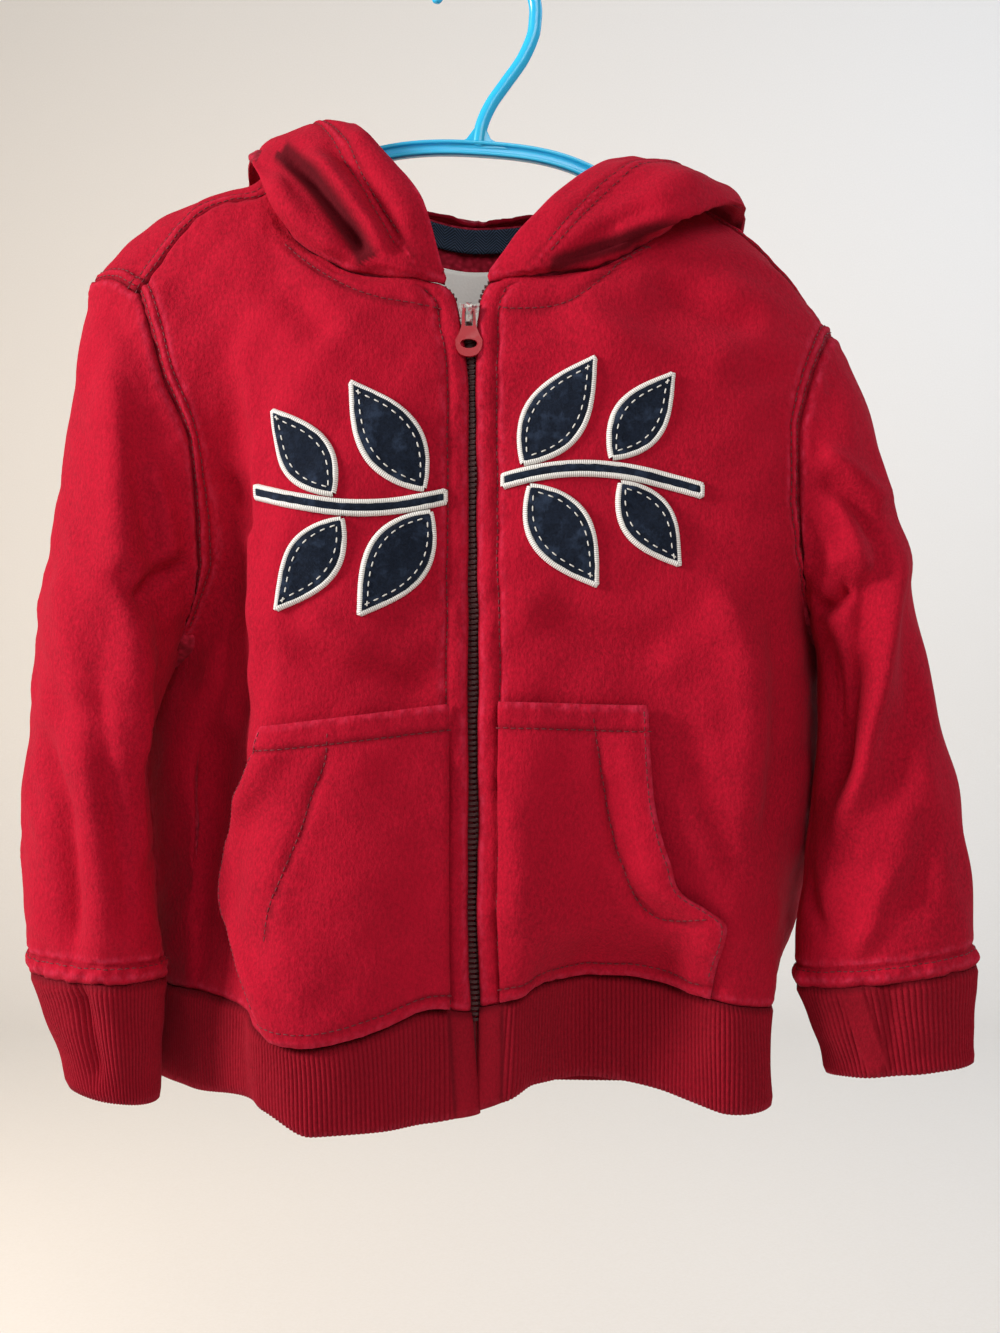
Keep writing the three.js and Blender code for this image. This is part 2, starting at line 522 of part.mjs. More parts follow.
function addPiece(name, geometry, { color, roughness = 0.9, metalness = 0 }) {
  const material = new THREE.MeshStandardMaterial({ color, roughness, metalness });
  const mesh = new THREE.Mesh(geometry, material);
  mesh.name = name;
  model.add(mesh);
}

const FLEECE = { color: 0xb8142e };
const RIBBING = { color: 0xae1730 };
const FELT_NAVY = { color: 0x141c2b };
const TWILL = { color: 0x2a3648 };
const LABEL_SATIN = { color: 0xe9e7e2, roughness: 0.6 };
const PLASTIC = { color: 0x29b4ee, roughness: 0.35 };
const ZIP_TAPE = { color: 0x8f1426 };
const ENAMEL = { color: 0x9a1c2e, roughness: 0.35, metalness: 0.6 };

// Torso panels
const frontRightNet = netOf(FRONT_RIGHT, FRONT_COLUMNS);
const frontLeftNet = netOf(FRONT_LEFT, FRONT_COLUMNS);
const wholeBackNet = backNet();
const torsoKnots = meanKnots([
  frontRightNet.map((row) => row[row.length - 1]),
  frontLeftNet.map((row) => row[row.length - 1]),
  wholeBackNet.map((row) => row[0]),
  wholeBackNet.map((row) => row[row.length - 1]),
]);
const back = new Cloth(wholeBackNet, torsoKnots);

// A front's last row lies on the back panel's edge, from the neck column to the armhole column
function seatedOnShoulder(net, neckColumn, armColumn) {
  const last = net[net.length - 1];
  const columnOf = (c) => neckColumn + (armColumn - neckColumn) * c / (last.length - 1);
  const row = last.map((_, c) => back.at(columnOf(c), back.rows));
  return [...net.slice(0, -1), row];
}

const frontRight = new Cloth(seatedOnShoulder(frontRightNet, 2, 0), torsoKnots);
const frontLeft = new Cloth(seatedOnShoulder(frontLeftNet, 8, 10), torsoKnots);

const frontAcross = places(0, [2, 2, 2, 3, 3, 2, 2]);
const backAcross = places(0, [3, 3, 1, 2, 2, 2, 2, 1, 3, 3]);
const torsoUp = places(HEM_ROW, [2, 2, 2, 1, 2, 2, 2, 1, 2, 2, 1]);
const torso = {
  right: sample(frontRight, frontAcross, torsoUp, true),
  left: sample(frontLeft, frontAcross, torsoUp, false),
  back: sample(back, backAcross, torsoUp, true),
};

// Along a shoulder seam the two panels' vertices differ, so each takes the mean of both normals there
function shareShoulder(front, frontFlip, grid, neckColumn, armColumn) {
  const meanNormal = (share) => {
    const a = front.normal(share * front.columns, front.rows).multiplyScalar(frontFlip ? -1 : 1);
    const b = back.normal(neckColumn + (armColumn - neckColumn) * share, back.rows).negate();
    return a.add(b).normalize();
  };
  const top = torsoUp.length - 1;
  frontAcross.forEach((column, c) => grid.normals[top][c].copy(meanNormal(column / front.columns)));
  backAcross.forEach((column, c) => {
    const share = (column - neckColumn) / (armColumn - neckColumn);
    if (share >= 0 && share <= 1) torso.back.normals[top][c].copy(meanNormal(share));
  });
}
torso.back.points[torsoUp.length - 1].forEach((p, c) => {
  const below = torso.back.points[torsoUp.length - 2][c];
  const onShoulder = backAcross[c] < 2 || backAcross[c] > 8;
  const inside = c > 0 && c < backAcross.length - 1;
  if (onShoulder && inside) p.add(below.clone().sub(p).setLength(SHOULDER_GAP));
});
shareShoulder(frontRight, true, torso.right, 2, 0);
shareShoulder(frontLeft, false, torso.left, 8, 10);

// The armhole loop runs from the underarm up the front and down the back
function armholeLoop(front, rear, rearColumn) {
  const start = torsoUp.indexOf(UNDERARM_ROW);
  const up = front.points.slice(start).map((row) => row[row.length - 1].clone());
  const down = rear.points.slice(start + 1, -1).map((row) => row[rearColumn].clone()).reverse();
  return up.concat(down);
}

// Where each place of a loop lies on a ring, as an angle from the ring's outermost place
function loopAngles(loop) {
  const lengths = [0];
  loop.forEach((p, i) => lengths.push(lengths[i] + p.distanceTo(loop[(i + 1) % loop.length])));
  return loop.map((_, i) => Math.PI * (1 - 2 * lengths[i] / lengths[loop.length]));
}

function ringPoint({ outer, inner, front, back: rear, lean }, angle) {
  const centre = mix(vector(outer), vector(inner), 0.5);
  const reach = vector(outer).sub(centre);
  const swell = Math.sin(angle);
  const p = centre.addScaledVector(reach, Math.cos(angle));
  p.y -= swell * (swell > 0 ? front : rear);
  p.x -= swell * lean * Math.sign(reach.x);
  return p;
}

function sleeveGrid(loop, rings, flip) {
  const angles = loopAngles(loop);
  const net = [loop].concat(rings.map((ring) => angles.map((angle) => ringPoint(ring, angle))));
  const tube = new Cloth(net);
  const columns = loop.map((_, i) => i);
  const points = places(0, [2, 1, 2, 2, 2, 2, 1]).map((row) => columns.map((column) => tube.at(column, row)));
  return { points, normals: gridNormals(points, true, flip) };
}

const sleeves = {
  right: sleeveGrid(armholeLoop(torso.right, torso.back, 0), SLEEVE_RIGHT, false),
  left: sleeveGrid(armholeLoop(torso.left, torso.back, backAcross.length - 1), SLEEVE_LEFT, true),
};
shareNormals([torso.right, torso.left, torso.back, sleeves.right, sleeves.left]);

// The sleeve's first ring stands a little further from the armhole at the underarm, which is curved
for (const { points } of [sleeves.right, sleeves.left]) {
  const ring = points[0].length;
  points[0].forEach((p, c) => {
    const near = Math.max(0, 1 - Math.min(c, ring - c) / 4);
    p.add(points[1][c].clone().sub(p).setLength(ARMHOLE_GAP + UNDERARM_GAP * near));
  });
}

// Hem and cuffs of rib knit: raised ribs outside, a plain wall inside
function ribbedBand(outline, closed) {
  const count = outline.length - (closed ? 0 : 1);
  const coarse = count / 4;
  const rows = [0, 1];
  const outer = rows.map((r) => outline.map(({ places: ends, normal }, i) => (
    ends[r].clone().addScaledVector(normal, (i % 2 ? 0.5 : -0.5) * RIB_HEIGHT)
  )));
  const inner = rows.map((r) => outline.filter((_, i) => i % 4 === 0)
    .map(({ places: ends, normal }) => ends[r].clone().addScaledVector(normal, -CLOTH)));
  const positions = [];
  for (const row of [...outer, ...inner]) {
    for (const p of row) positions.push(p.x, p.y, p.z);
  }
  const long = outer[0].length;
  const short = inner[0].length;
  const out = (r, i) => r * long + (closed ? i % long : i);
  const into = (r, i) => 2 * long + r * short + (closed ? i % short : i);
  const index = [];
  const quad = (a, b, c, d) => index.push(a, b, c, a, c, d);
  for (let i = 0; i < count; i += 1) quad(out(0, i), out(0, i + 1), out(1, i + 1), out(1, i));
  for (let k = 0; k < coarse; k += 1) {
    quad(into(0, k), into(1, k), into(1, k + 1), into(0, k + 1));
    const first = 4 * k;
    for (const [a, b, side] of [[0, 1, 0], [1, 2, 0], [2, 3, 1], [3, 4, 1]]) {
      index.push(out(1, first + a), out(1, first + b), into(1, k + side));
      index.push(out(0, first + b), out(0, first + a), into(0, k + side));
    }
    index.push(into(1, k), out(1, first + 2), into(1, k + 1));
    index.push(into(0, k + 1), out(0, first + 2), into(0, k));
  }
  if (!closed) {
    quad(out(0, 0), out(1, 0), into(1, 0), into(0, 0));
    quad(out(0, count), into(0, coarse), into(1, coarse), out(1, count));
  }
  return facingOut(positions, index);
}

// Column places along one panel's hem, two to a rib, evenly spaced on the cloth
function ribPlaces(cloth, reverse) {
  const steps = 240;
  const lengths = [0];
  let before = cloth.at(0, HEM_ROW / 2);
  for (let i = 1; i <= steps; i += 1) {
    const p = cloth.at(cloth.columns * i / steps, HEM_ROW / 2);
    lengths.push(lengths[i - 1] + p.distanceTo(before));
    before = p;
  }
  const ribs = 2 * Math.round(lengths[steps] / RIB_PITCH / 2);
  const list = [];
  for (let k = 0; k <= 2 * ribs; k += 1) {
    const target = lengths[steps] * k / (2 * ribs);
    let i = 1;
    while (i < steps && lengths[i] < target) i += 1;
    const share = (target - lengths[i - 1]) / (lengths[i] - lengths[i - 1]);
    list.push(cloth.columns * (i - 1 + share) / steps);
  }
  return reverse ? list.reverse() : list;
}

function hemOutline() {
  const line = [];
  const seamDrop = 0.012;
  for (const [cloth, reverse] of [[frontRight, false], [back, false], [frontLeft, true]]) {
    const list = ribPlaces(cloth, reverse);
    if (line.length) list.shift();
    for (const column of list) {
      line.push({ places: [cloth.at(column, 0), cloth.at(column, HEM_ROW - seamDrop)] });
    }
  }
  line[0].places.forEach((p) => { p.x -= SEAM_GAP / 2; });
  line[line.length - 1].places.forEach((p) => { p.x += SEAM_GAP / 2; });
  return withNormals(line, false);
}

function withNormals(line, closed) {
  const up = new THREE.Vector3();
  line.forEach((item, i) => {
    const reach = 3;
    const place = (k) => line[closed ? (k + line.length) % line.length
      : THREE.MathUtils.clamp(k, 0, line.length - 1)].places[0];
    up.subVectors(item.places[1], item.places[0]);
    item.normal = place(i + reach).clone().sub(place(i - reach)).cross(up).normalize();
  });
  const middle = line[Math.floor(line.length * 0.5)];
  const centre = new THREE.Vector3();
  line.forEach((item) => centre.add(item.places[0]));
  centre.divideScalar(line.length);
  if (middle.normal.dot(middle.places[0].clone().sub(centre)) < 0) {
    line.forEach((item) => item.normal.negate());
  }
  return line;
}

function cuffOutline(sleeveEnd, end) {
  const ribs = 4 * Math.round(Math.PI * (Math.abs(sleeveEnd.outer[0] - sleeveEnd.inner[0])
    + sleeveEnd.front + sleeveEnd.back) / 2 / RIB_PITCH / 4 * CUFF_GATHER);
  const line = [];
  for (let i = 0; i < 2 * ribs; i += 1) {
    const angle = 2 * Math.PI * i / (2 * ribs);
    const top = ringPoint(sleeveEnd, angle);
    top.z -= SEAM_GAP + RIB_HEIGHT / 2;
    line.push({ places: [ringPoint(end, angle), top] });
  }
  return withNormals(line, true);
}

// Hood panels
const hoodAcross = places(0, [1, 2, 2, 2, 2, 1]);
const hoodRound = {
  right: places(0, [2, 2, 2, 1, 1, 2, 3, 3]),
  left: places(0, [2, 2, 2, 2, 2, 3, 3]),
};

function hoodNet(rows, front) {
  return rows.map((row) => {
    const line = HOOD_COLUMNS.map((name) => vector(row[name]));
    const neck = row.front === undefined ? back.at(row.back, back.rows) : front.at(0, row.front);
    const stand = line[0].clone().sub(neck).setLength(HOOD_STAND);
    return [neck.add(stand), ...line];
  });
}

const hoods = {
  right: sample(new Cloth(hoodNet(HOOD_RIGHT, frontRight)), hoodAcross, hoodRound.right, false),
  left: sample(new Cloth(hoodNet(HOOD_LEFT, frontLeft)), hoodAcross, hoodRound.left, true),
};

// The two hood panels part at the centre back along an upright plane
for (const [{ points, normals }, side] of [[hoods.right, -1], [hoods.left, 1]]) {
  const last = points.length - 1;
  points[last].forEach((p) => { p.x += side * SEAM_GAP / 2; });
  normals[last].forEach((n) => n.setX(0).normalize());
}

// Pieces that lie on a front panel, made from the panel's own places moved out
function onPanel(cloth, flip, x, z) {
  const [column, row] = cloth.find(x, z);
  return { point: cloth.at(column, row), normal: cloth.normal(column, row).multiplyScalar(flip ? -1 : 1) };
}

function laidOn(cloth, flip, outline, thickness, lift = LIFT) {
  const spots = outline.map((line) => line.map(([x, z]) => onPanel(cloth, flip, x, z)));
  const raised = (height) => spots.map((line) => line.map(({ point, normal }) => (
    point.clone().addScaledVector(normal, height)
  )));
  return wallGeometry(raised(lift + thickness), raised(lift), false);
}

function pocketOutline({ inner, bunching, rows, topInner, bottomInner }) {
  const columns = 12;
  const low = rows[0].z;
  const high = rows[rows.length - 1].z;
  return rows.map(({ z, reach }) => {
    const share = (z - low) / (high - low);
    const innerZ = bottomInner + (topInner - bottomInner) * share;
    const line = [];
    for (let c = 0; c <= columns; c += 1) {
      const across = 1 - (1 - c / columns) ** bunching;
      line.push([inner + (reach - inner) * across, innerZ + (z - innerZ) * across]);
    }
    return line;
  });
}

// The vine of the applique: its height over the chest
function vineHeight(x) {
  return VINE.z + VINE.swing * Math.sin(Math.PI * (x - VINE.middle) / VINE.reach);
}

function leafOutline({ x, side, turn, length, width }) {
  const steps = 6;
  const along = THREE.MathUtils.degToRad(turn);
  const startZ = vineHeight(x) + side * VINE.stalk;
  const lines = [];
  for (let i = 0; i <= steps; i += 1) {
    const t = i / steps;
    const half = Math.max(width / 2 * Math.sin(Math.PI * t ** 0.85), 0.8);
    lines.push([-1, 0, 1].map((edge) => [
      x + length * t * Math.cos(along) - edge * half * Math.sin(along),
      startZ + length * t * Math.sin(along) + edge * half * Math.cos(along),
    ]));
  }
  return lines;
}

function stemOutline(from, to) {
  const steps = 12;
  const lines = [];
  for (let i = 0; i <= steps; i += 1) {
    const x = from + (to - from) * i / steps;
    lines.push([[x, vineHeight(x) - VINE.width / 2], [x, vineHeight(x) + VINE.width / 2]]);
  }
  return lines;
}

// Zip tape of one side: under the front's edge, and out to the middle of the chain
function tapeGeometry(cloth, flip, side) {
  const rows = places(0, [2, 2, 3, 3, 1, 1, 3, 3, 3]);
  const outer = [];
  for (const row of rows) {
    const edge = cloth.at(0, row);
    const under = [0.35, 0].map((column) => (
      cloth.at(column, row).addScaledVector(cloth.normal(column, row), (flip ? 1 : -1) * (CLOTH + TAPE_BEHIND))
    ));
    const parting = THREE.MathUtils.smoothstep(edge.z, SLIDER_Z - 7, SLIDER_Z + 5);
    const closedX = zipCentre(row) + side * CHAIN_GAP / 2;
    const middle = under[1].clone();
    middle.x = closedX + (edge.x - side * TAPE_REACH - closedX) * parting;
    outer.push([under[0], under[1], middle]);
  }
  const inner = outer.map((line) => line.map((p) => p.clone().setY(p.y + TAPE_CLOTH)));
  return wallGeometry(outer, inner, false);
}

function zipCentre(row) {
  return (frontRight.at(0, row).x + frontLeft.at(0, row).x) / 2;
}

// Solids joined and cut
function toSolid(geometry) {
  const bare = new THREE.BufferGeometry();
  bare.setAttribute('position', geometry.getAttribute('position'));
  if (geometry.index) bare.setIndex(geometry.index);
  const merged = mergeVertices(bare, 1e-4);
  return new wasm.Manifold(new wasm.Mesh({
    numProp: 3,
    vertProperties: new Float32Array(merged.getAttribute('position').array),
    triVerts: new Uint32Array(merged.index.array),
  }));
}

function toGeometry(solid) {
  const mesh = solid.getMesh();
  const geometry = new THREE.BufferGeometry();
  geometry.setAttribute('position', new THREE.BufferAttribute(new Float32Array(mesh.vertProperties), 3));
  geometry.setIndex(new THREE.BufferAttribute(new Uint32Array(mesh.triVerts), 1));
  return geometry;
}

function block(width, depth, height, x, y, z) {
  const box = new THREE.BoxGeometry(width, depth, height);
  box.translate(x, y, z);
  return toSolid(box);
}

// A section swept along a path in the upright plane; the section is [across, depth] pairs
function sweep(path, section, yAt) {
  const positions = [];
  const index = [];
  path.forEach((p, i) => {
    const ahead = path[Math.min(i + 1, path.length - 1)];
    const behind = path[Math.max(i - 1, 0)];
    const along = ahead.clone().sub(behind).normalize();
    const scale = p.z;
    for (const [across, depth] of section) {
      positions.push(p.x - along.y * across * scale, yAt(p.x) + depth * scale, p.y + along.x * across * scale);
    }
  });
  const n = section.length;
  for (let i = 0; i < path.length - 1; i += 1) {
    for (let k = 0; k < n; k += 1) {
      const next = (k + 1) % n;
      index.push(i * n + k, i * n + next, (i + 1) * n + next, i * n + k, (i + 1) * n + next, (i + 1) * n + k);
    }
  }
  const flat = section.map(([a, b]) => new THREE.Vector2(a, b));
  const lastRing = (path.length - 1) * n;
  for (const [a, b, c] of THREE.ShapeUtils.triangulateShape(flat, [])) {
    index.push(c, b, a, lastRing + a, lastRing + b, lastRing + c);
  }
  return facingOut(positions, index);
}

function hangerSolid() {
  const h = BAR_HEIGHT / 2;
  const d = BAR_DEPTH / 2;
  const w = BAR_WEB / 2;
  const f = h - FLANGE;
  const beam = [
    [h, -d], [h, d], [f, d], [f, w], [-f, w], [-f, d],
    [-h, d], [-h, -d], [-f, -d], [-f, -w], [f, -w], [f, -d],
  ];
  const barPoints = BAR.map(({ x, z }) => new THREE.Vector3(x, z, 0));
  const barCurve = new THREE.CatmullRomCurve3(barPoints, false, 'centripetal');
  const steps = 30;
  const bar = [];
  for (let i = 0; i <= steps; i += 1) {
    const p = barCurve.getPoint(i / steps);
    const rounding = i === 0 || i === steps ? END_SCALE : 1;
    bar.push(new THREE.Vector3(p.x, p.y, rounding));
  }
  const yAt = (x) => BAR_SKEW * x;
  const round = [];
  const wireSides = 10;
  for (let k = 0; k < wireSides; k += 1) {
    const angle = 2 * Math.PI * k / wireSides;
    round.push([HOOK_WIRE / 2 * Math.cos(angle), HOOK_DEPTH / 2 * Math.sin(angle)]);
  }
  const stemPoints = STEM.map(({ x, z }) => new THREE.Vector3(x, z, 0));
  const stemCurve = new THREE.CatmullRomCurve3(stemPoints, false, 'centripetal');
  const stemSteps = 9;
  const hook = [];
  for (let i = 0; i < stemSteps; i += 1) {
    const p = stemCurve.getPoint(i / stemSteps);
    hook.push(new THREE.Vector3(p.x, p.y, 1));
  }
  const radius = HOOK_BORE + HOOK_WIRE / 2;
  const bend = (degrees, scale) => {
    const angle = THREE.MathUtils.degToRad(degrees);
    hook.push(new THREE.Vector3(radius * Math.cos(angle), -HOOK_BORE + radius * Math.sin(angle), scale));
  };
  const bendSteps = 14;
  for (let i = 0; i <= bendSteps; i += 1) bend(HOOK_START + (HOOK_TURN - HOOK_START) * i / bendSteps, 1);
  bend(HOOK_TURN - HOOK_START, TIP_SCALE);
  const foot = STEM[0];
  const web = new THREE.Shape([[-15, -0.6], [15, -1.6], [6, 3.4], [3.4, 9], [-1.4, 9], [-5.4, 3.6]]
    .map(([x, z]) => new THREE.Vector2(foot.x + x, foot.z + z)));
  const gussetDepth = BAR_WEB + 0.6;
  const gusset = new THREE.ExtrudeGeometry(web, { depth: gussetDepth, bevelEnabled: false });
  gusset.rotateX(Math.PI / 2);
  gusset.translate(0, gussetDepth / 2, 0);
  return toSolid(sweep(bar, beam, yAt))
    .add(toSolid(sweep(hook, round, yAt)))
    .add(toSolid(gusset));
}

// Zip slider: two plates, a post between them, and the arch that carries the pull
function sliderSolid() {
  const plate = new THREE.Shape();
  plate.moveTo(-4.6, 5.5);
  plate.lineTo(4.6, 5.5);
  plate.quadraticCurveTo(4.4, 0, 3.2, -6);
  plate.lineTo(-3.2, -6);
  plate.quadraticCurveTo(-4.4, 0, -4.6, 5.5);
  const plateSolid = (y, thick) => {
    const g = new THREE.ExtrudeGeometry(plate, { depth: thick, bevelEnabled: false, curveSegments: 4 });
    g.rotateX(Math.PI / 2);
    g.translate(SLIDER_X, y + thick, SLIDER_Z);
    return toSolid(g);
  };
  const arch = new THREE.Shape();
  arch.moveTo(SLIDER_FRONT_Y + 0.4, 5.2);
  arch.lineTo(-41.6, 5.2);
  arch.quadraticCurveTo(-42.6, 4.6, -42.6, 3);
  arch.lineTo(-42.4, -0.6);
  arch.quadraticCurveTo(-41.6, -3.6, SLIDER_FRONT_Y + 0.4, -4.4);
  const hollow = new THREE.Path();
  hollow.moveTo(SLIDER_FRONT_Y, 4.0);
  hollow.lineTo(-41.2, 4.0);
  hollow.lineTo(-41.2, -0.2);
  hollow.lineTo(-40.2, -2.4);
  hollow.lineTo(SLIDER_FRONT_Y, -3.2);
  arch.holes.push(hollow);
  const archCut = { depth: ARCH_WIDTH, bevelEnabled: false, curveSegments: 4 };
  const archGeometry = new THREE.ExtrudeGeometry(arch, archCut);
  archGeometry.applyMatrix4(new THREE.Matrix4().makeBasis(
    new THREE.Vector3(0, 1, 0), new THREE.Vector3(0, 0, 1), new THREE.Vector3(1, 0, 0)));
  archGeometry.translate(SLIDER_X - ARCH_WIDTH / 2, 0, SLIDER_Z);
  return plateSolid(SLIDER_FRONT_Y, FRONT_PLATE)
    .add(plateSolid(PLATE_BACK_Y, BACK_PLATE))
    .add(block(POST.width, POST.depth, POST.height, SLIDER_X, POST.y, SLIDER_Z + POST.rise))
    .add(toSolid(archGeometry));
}

// Pull tab: a bar through the arch, two arms, and a plate with an oval hole
function pullSolid() {
  const half = PULL_WIDTH / 2;
  const tab = new THREE.Shape();
  tab.moveTo(-2.9, 0.75);
  tab.lineTo(2.9, 0.75);
  tab.lineTo(3.2, -7);
  tab.quadraticCurveTo(3.6, -9.5, half, -14);
  tab.quadraticCurveTo(half + 0.2, -PULL_LENGTH, 0, -PULL_LENGTH);
  tab.quadraticCurveTo(-half - 0.2, -PULL_LENGTH, -half, -14);
  tab.quadraticCurveTo(-3.6, -9.5, -3.2, -7);
  const { halfWidth: slotHalf, top: slotTop, bottom: slotBottom } = SLOT;
  const slot = new THREE.Shape([
    new THREE.Vector2(-slotHalf, slotTop), new THREE.Vector2(slotHalf, slotTop),
    new THREE.Vector2(slotHalf, slotBottom), new THREE.Vector2(-slotHalf, slotBottom),
  ]);
  const eye = new THREE.Shape(Array.from({ length: EYE.sides }, (_, k) => {
    const angle = 2 * Math.PI * k / EYE.sides;
    return new THREE.Vector2(EYE.halfWidth * Math.cos(angle), EYE.middle + EYE.halfHeight * Math.sin(angle));
  }));
  const cutDepth = PULL_THICK + 2;
  const solid = (shape, depth) => {
    const g = new THREE.ExtrudeGeometry(shape, { depth, bevelEnabled: false, curveSegments: 6 });
    g.translate(0, 0, -depth / 2);
    return toSolid(g);
  };
  const g = toGeometry(solid(tab, PULL_THICK).subtract(solid(slot, cutDepth)).subtract(solid(eye, cutDepth)));
  g.rotateX(Math.PI / 2 - THREE.MathUtils.degToRad(PULL_REST));
  g.translate(SLIDER_X, PIVOT_Y, PIVOT_Z);
  return g;
}

// Tape over the back neck seam, and the blank label under it, on the inside of the back
function insideBack({ drops, xs }, depth, thickness) {
  const outer = drops.map((drop) => xs.map((x) => {
    const column = columnAtNeck(x);
    const row = rowBelow(column, drop);
    return { p: back.at(column, row), n: back.normal(column, row).negate() };
  }));
  const shifted = (d) => outer.map((line) => line.map(({ p, n }) => p.clone().addScaledVector(n, -d)));
  return wallGeometry(shifted(depth), shifted(depth + thickness), false);
}

function columnAtNeck(x) {
  let low = 3;
  let high = 7;
  for (let i = 0; i < 24; i += 1) {
    const middle = (low + high) / 2;
    if (back.at(middle, back.rows).x < x) low = middle;
    else high = middle;
  }
  return low;
}

// The row place that lies so far below the neck edge, measured down the cloth
function rowBelow(column, drop) {
  let place = back.rows;
  let before = back.at(column, place);
  let gone = 0;
  while (gone < drop && place > UNDERARM_ROW) {
    place -= 0.02;
    const p = back.at(column, place);
    gone += p.distanceTo(before);
    before = p;
  }
  return place;
}

addPiece('hanger', toGeometry(hangerSolid()), PLASTIC);
addPiece('front_right', clothWall(torso.right, false), FLEECE);
addPiece('front_left', clothWall(torso.left, false), FLEECE);
addPiece('back', clothWall(torso.back, false), FLEECE);
addPiece('sleeve_right', clothWall(sleeves.right, true), FLEECE);
addPiece('sleeve_left', clothWall(sleeves.left, true), FLEECE);
addPiece('hood_right', clothWall(hoods.right, false), FLEECE);
addPiece('hood_left', clothWall(hoods.left, false), FLEECE);
addPiece('hem_rib', ribbedBand(hemOutline(), false), RIBBING);
addPiece('cuff_right', ribbedBand(cuffOutline(SLEEVE_RIGHT[6], CUFF_RIGHT_END), true), RIBBING);
addPiece('cuff_left', ribbedBand(cuffOutline(SLEEVE_LEFT[6], CUFF_LEFT_END), true), RIBBING);
addPiece('pocket_right', laidOn(frontRight, true, pocketOutline(POCKET_RIGHT), CLOTH, POCKET_LIFT), FLEECE);
addPiece('pocket_left', laidOn(frontLeft, false, pocketOutline(POCKET_LEFT), CLOTH, POCKET_LIFT), FLEECE);
addPiece('zip_tape_right', tapeGeometry(frontRight, true, -1), ZIP_TAPE);
addPiece('zip_tape_left', tapeGeometry(frontLeft, false, 1), ZIP_TAPE);
addPiece('zip_slider', toGeometry(sliderSolid()), ENAMEL);
addPiece('zip_pull', pullSolid(), ENAMEL);
addPiece('neck_tape', insideBack(NECK_TAPE, CLOTH + TAPE_BEHIND, TAPE_CLOTH), TWILL);
addPiece('label', insideBack(LABEL, CLOTH + SEAM_GAP, TAPE_CLOTH), LABEL_SATIN);
for (const leaf of LEAVES) {
  const [cloth, flip] = leaf.x < 0 ? [frontRight, true] : [frontLeft, false];
  addPiece(leaf.name, laidOn(cloth, flip, leafOutline(leaf), FELT), FELT_NAVY);
}
addPiece('applique_stem_right', laidOn(frontRight, true, stemOutline(...STEMS.right), FELT), FELT_NAVY);
addPiece('applique_stem_left', laidOn(frontLeft, false, stemOutline(...STEMS.left), FELT), FELT_NAVY);

export default model;
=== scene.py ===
import math

import bpy
import mathutils
import numpy as np
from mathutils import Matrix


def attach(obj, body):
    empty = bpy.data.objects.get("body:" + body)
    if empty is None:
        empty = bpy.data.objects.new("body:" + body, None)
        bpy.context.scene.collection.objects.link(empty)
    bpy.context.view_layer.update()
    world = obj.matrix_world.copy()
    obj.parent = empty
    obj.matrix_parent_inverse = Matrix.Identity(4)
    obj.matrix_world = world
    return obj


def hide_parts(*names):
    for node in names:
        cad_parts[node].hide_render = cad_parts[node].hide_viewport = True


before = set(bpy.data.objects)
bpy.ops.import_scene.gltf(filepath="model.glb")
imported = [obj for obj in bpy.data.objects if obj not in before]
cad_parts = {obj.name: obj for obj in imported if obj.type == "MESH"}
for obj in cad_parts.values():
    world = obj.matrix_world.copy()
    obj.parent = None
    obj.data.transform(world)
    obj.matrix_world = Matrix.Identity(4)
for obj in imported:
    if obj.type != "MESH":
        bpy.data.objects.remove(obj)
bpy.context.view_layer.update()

MM = 0.001
RANDOM = np.random.default_rng(7)

# The photograph's frame: millimetres a pixel in the plane of the zip, and its middle
PIXEL = 0.47
CAMERA_AWAY = 720.0
CENTRE = (6.8, -328.1)
PHOTO_CENTRE = (500.0, 666.5)
PHOTO_HEIGHT = 1333
FOCAL_PIXELS = 1532
SENSOR = 36.0

# Cloth
CLOTH = 2.0
TAPE_CLOTH = 1.1
FELT = 1.5
LIFT = 0.75
POCKET_LIFT = 1.2
RIB_PITCH = 2.1
RIB_HEIGHT = 0.9
HEM_ROW = 1
UNDERARM_ROW = 5
NECK_ROW = 9
# Stitch lines: millimetres in from the edge
SEAM_STITCHES = (1.9, 6.2)
ZIP_STITCH = 9.4
HOOD_STITCHES = (19.5, 24)

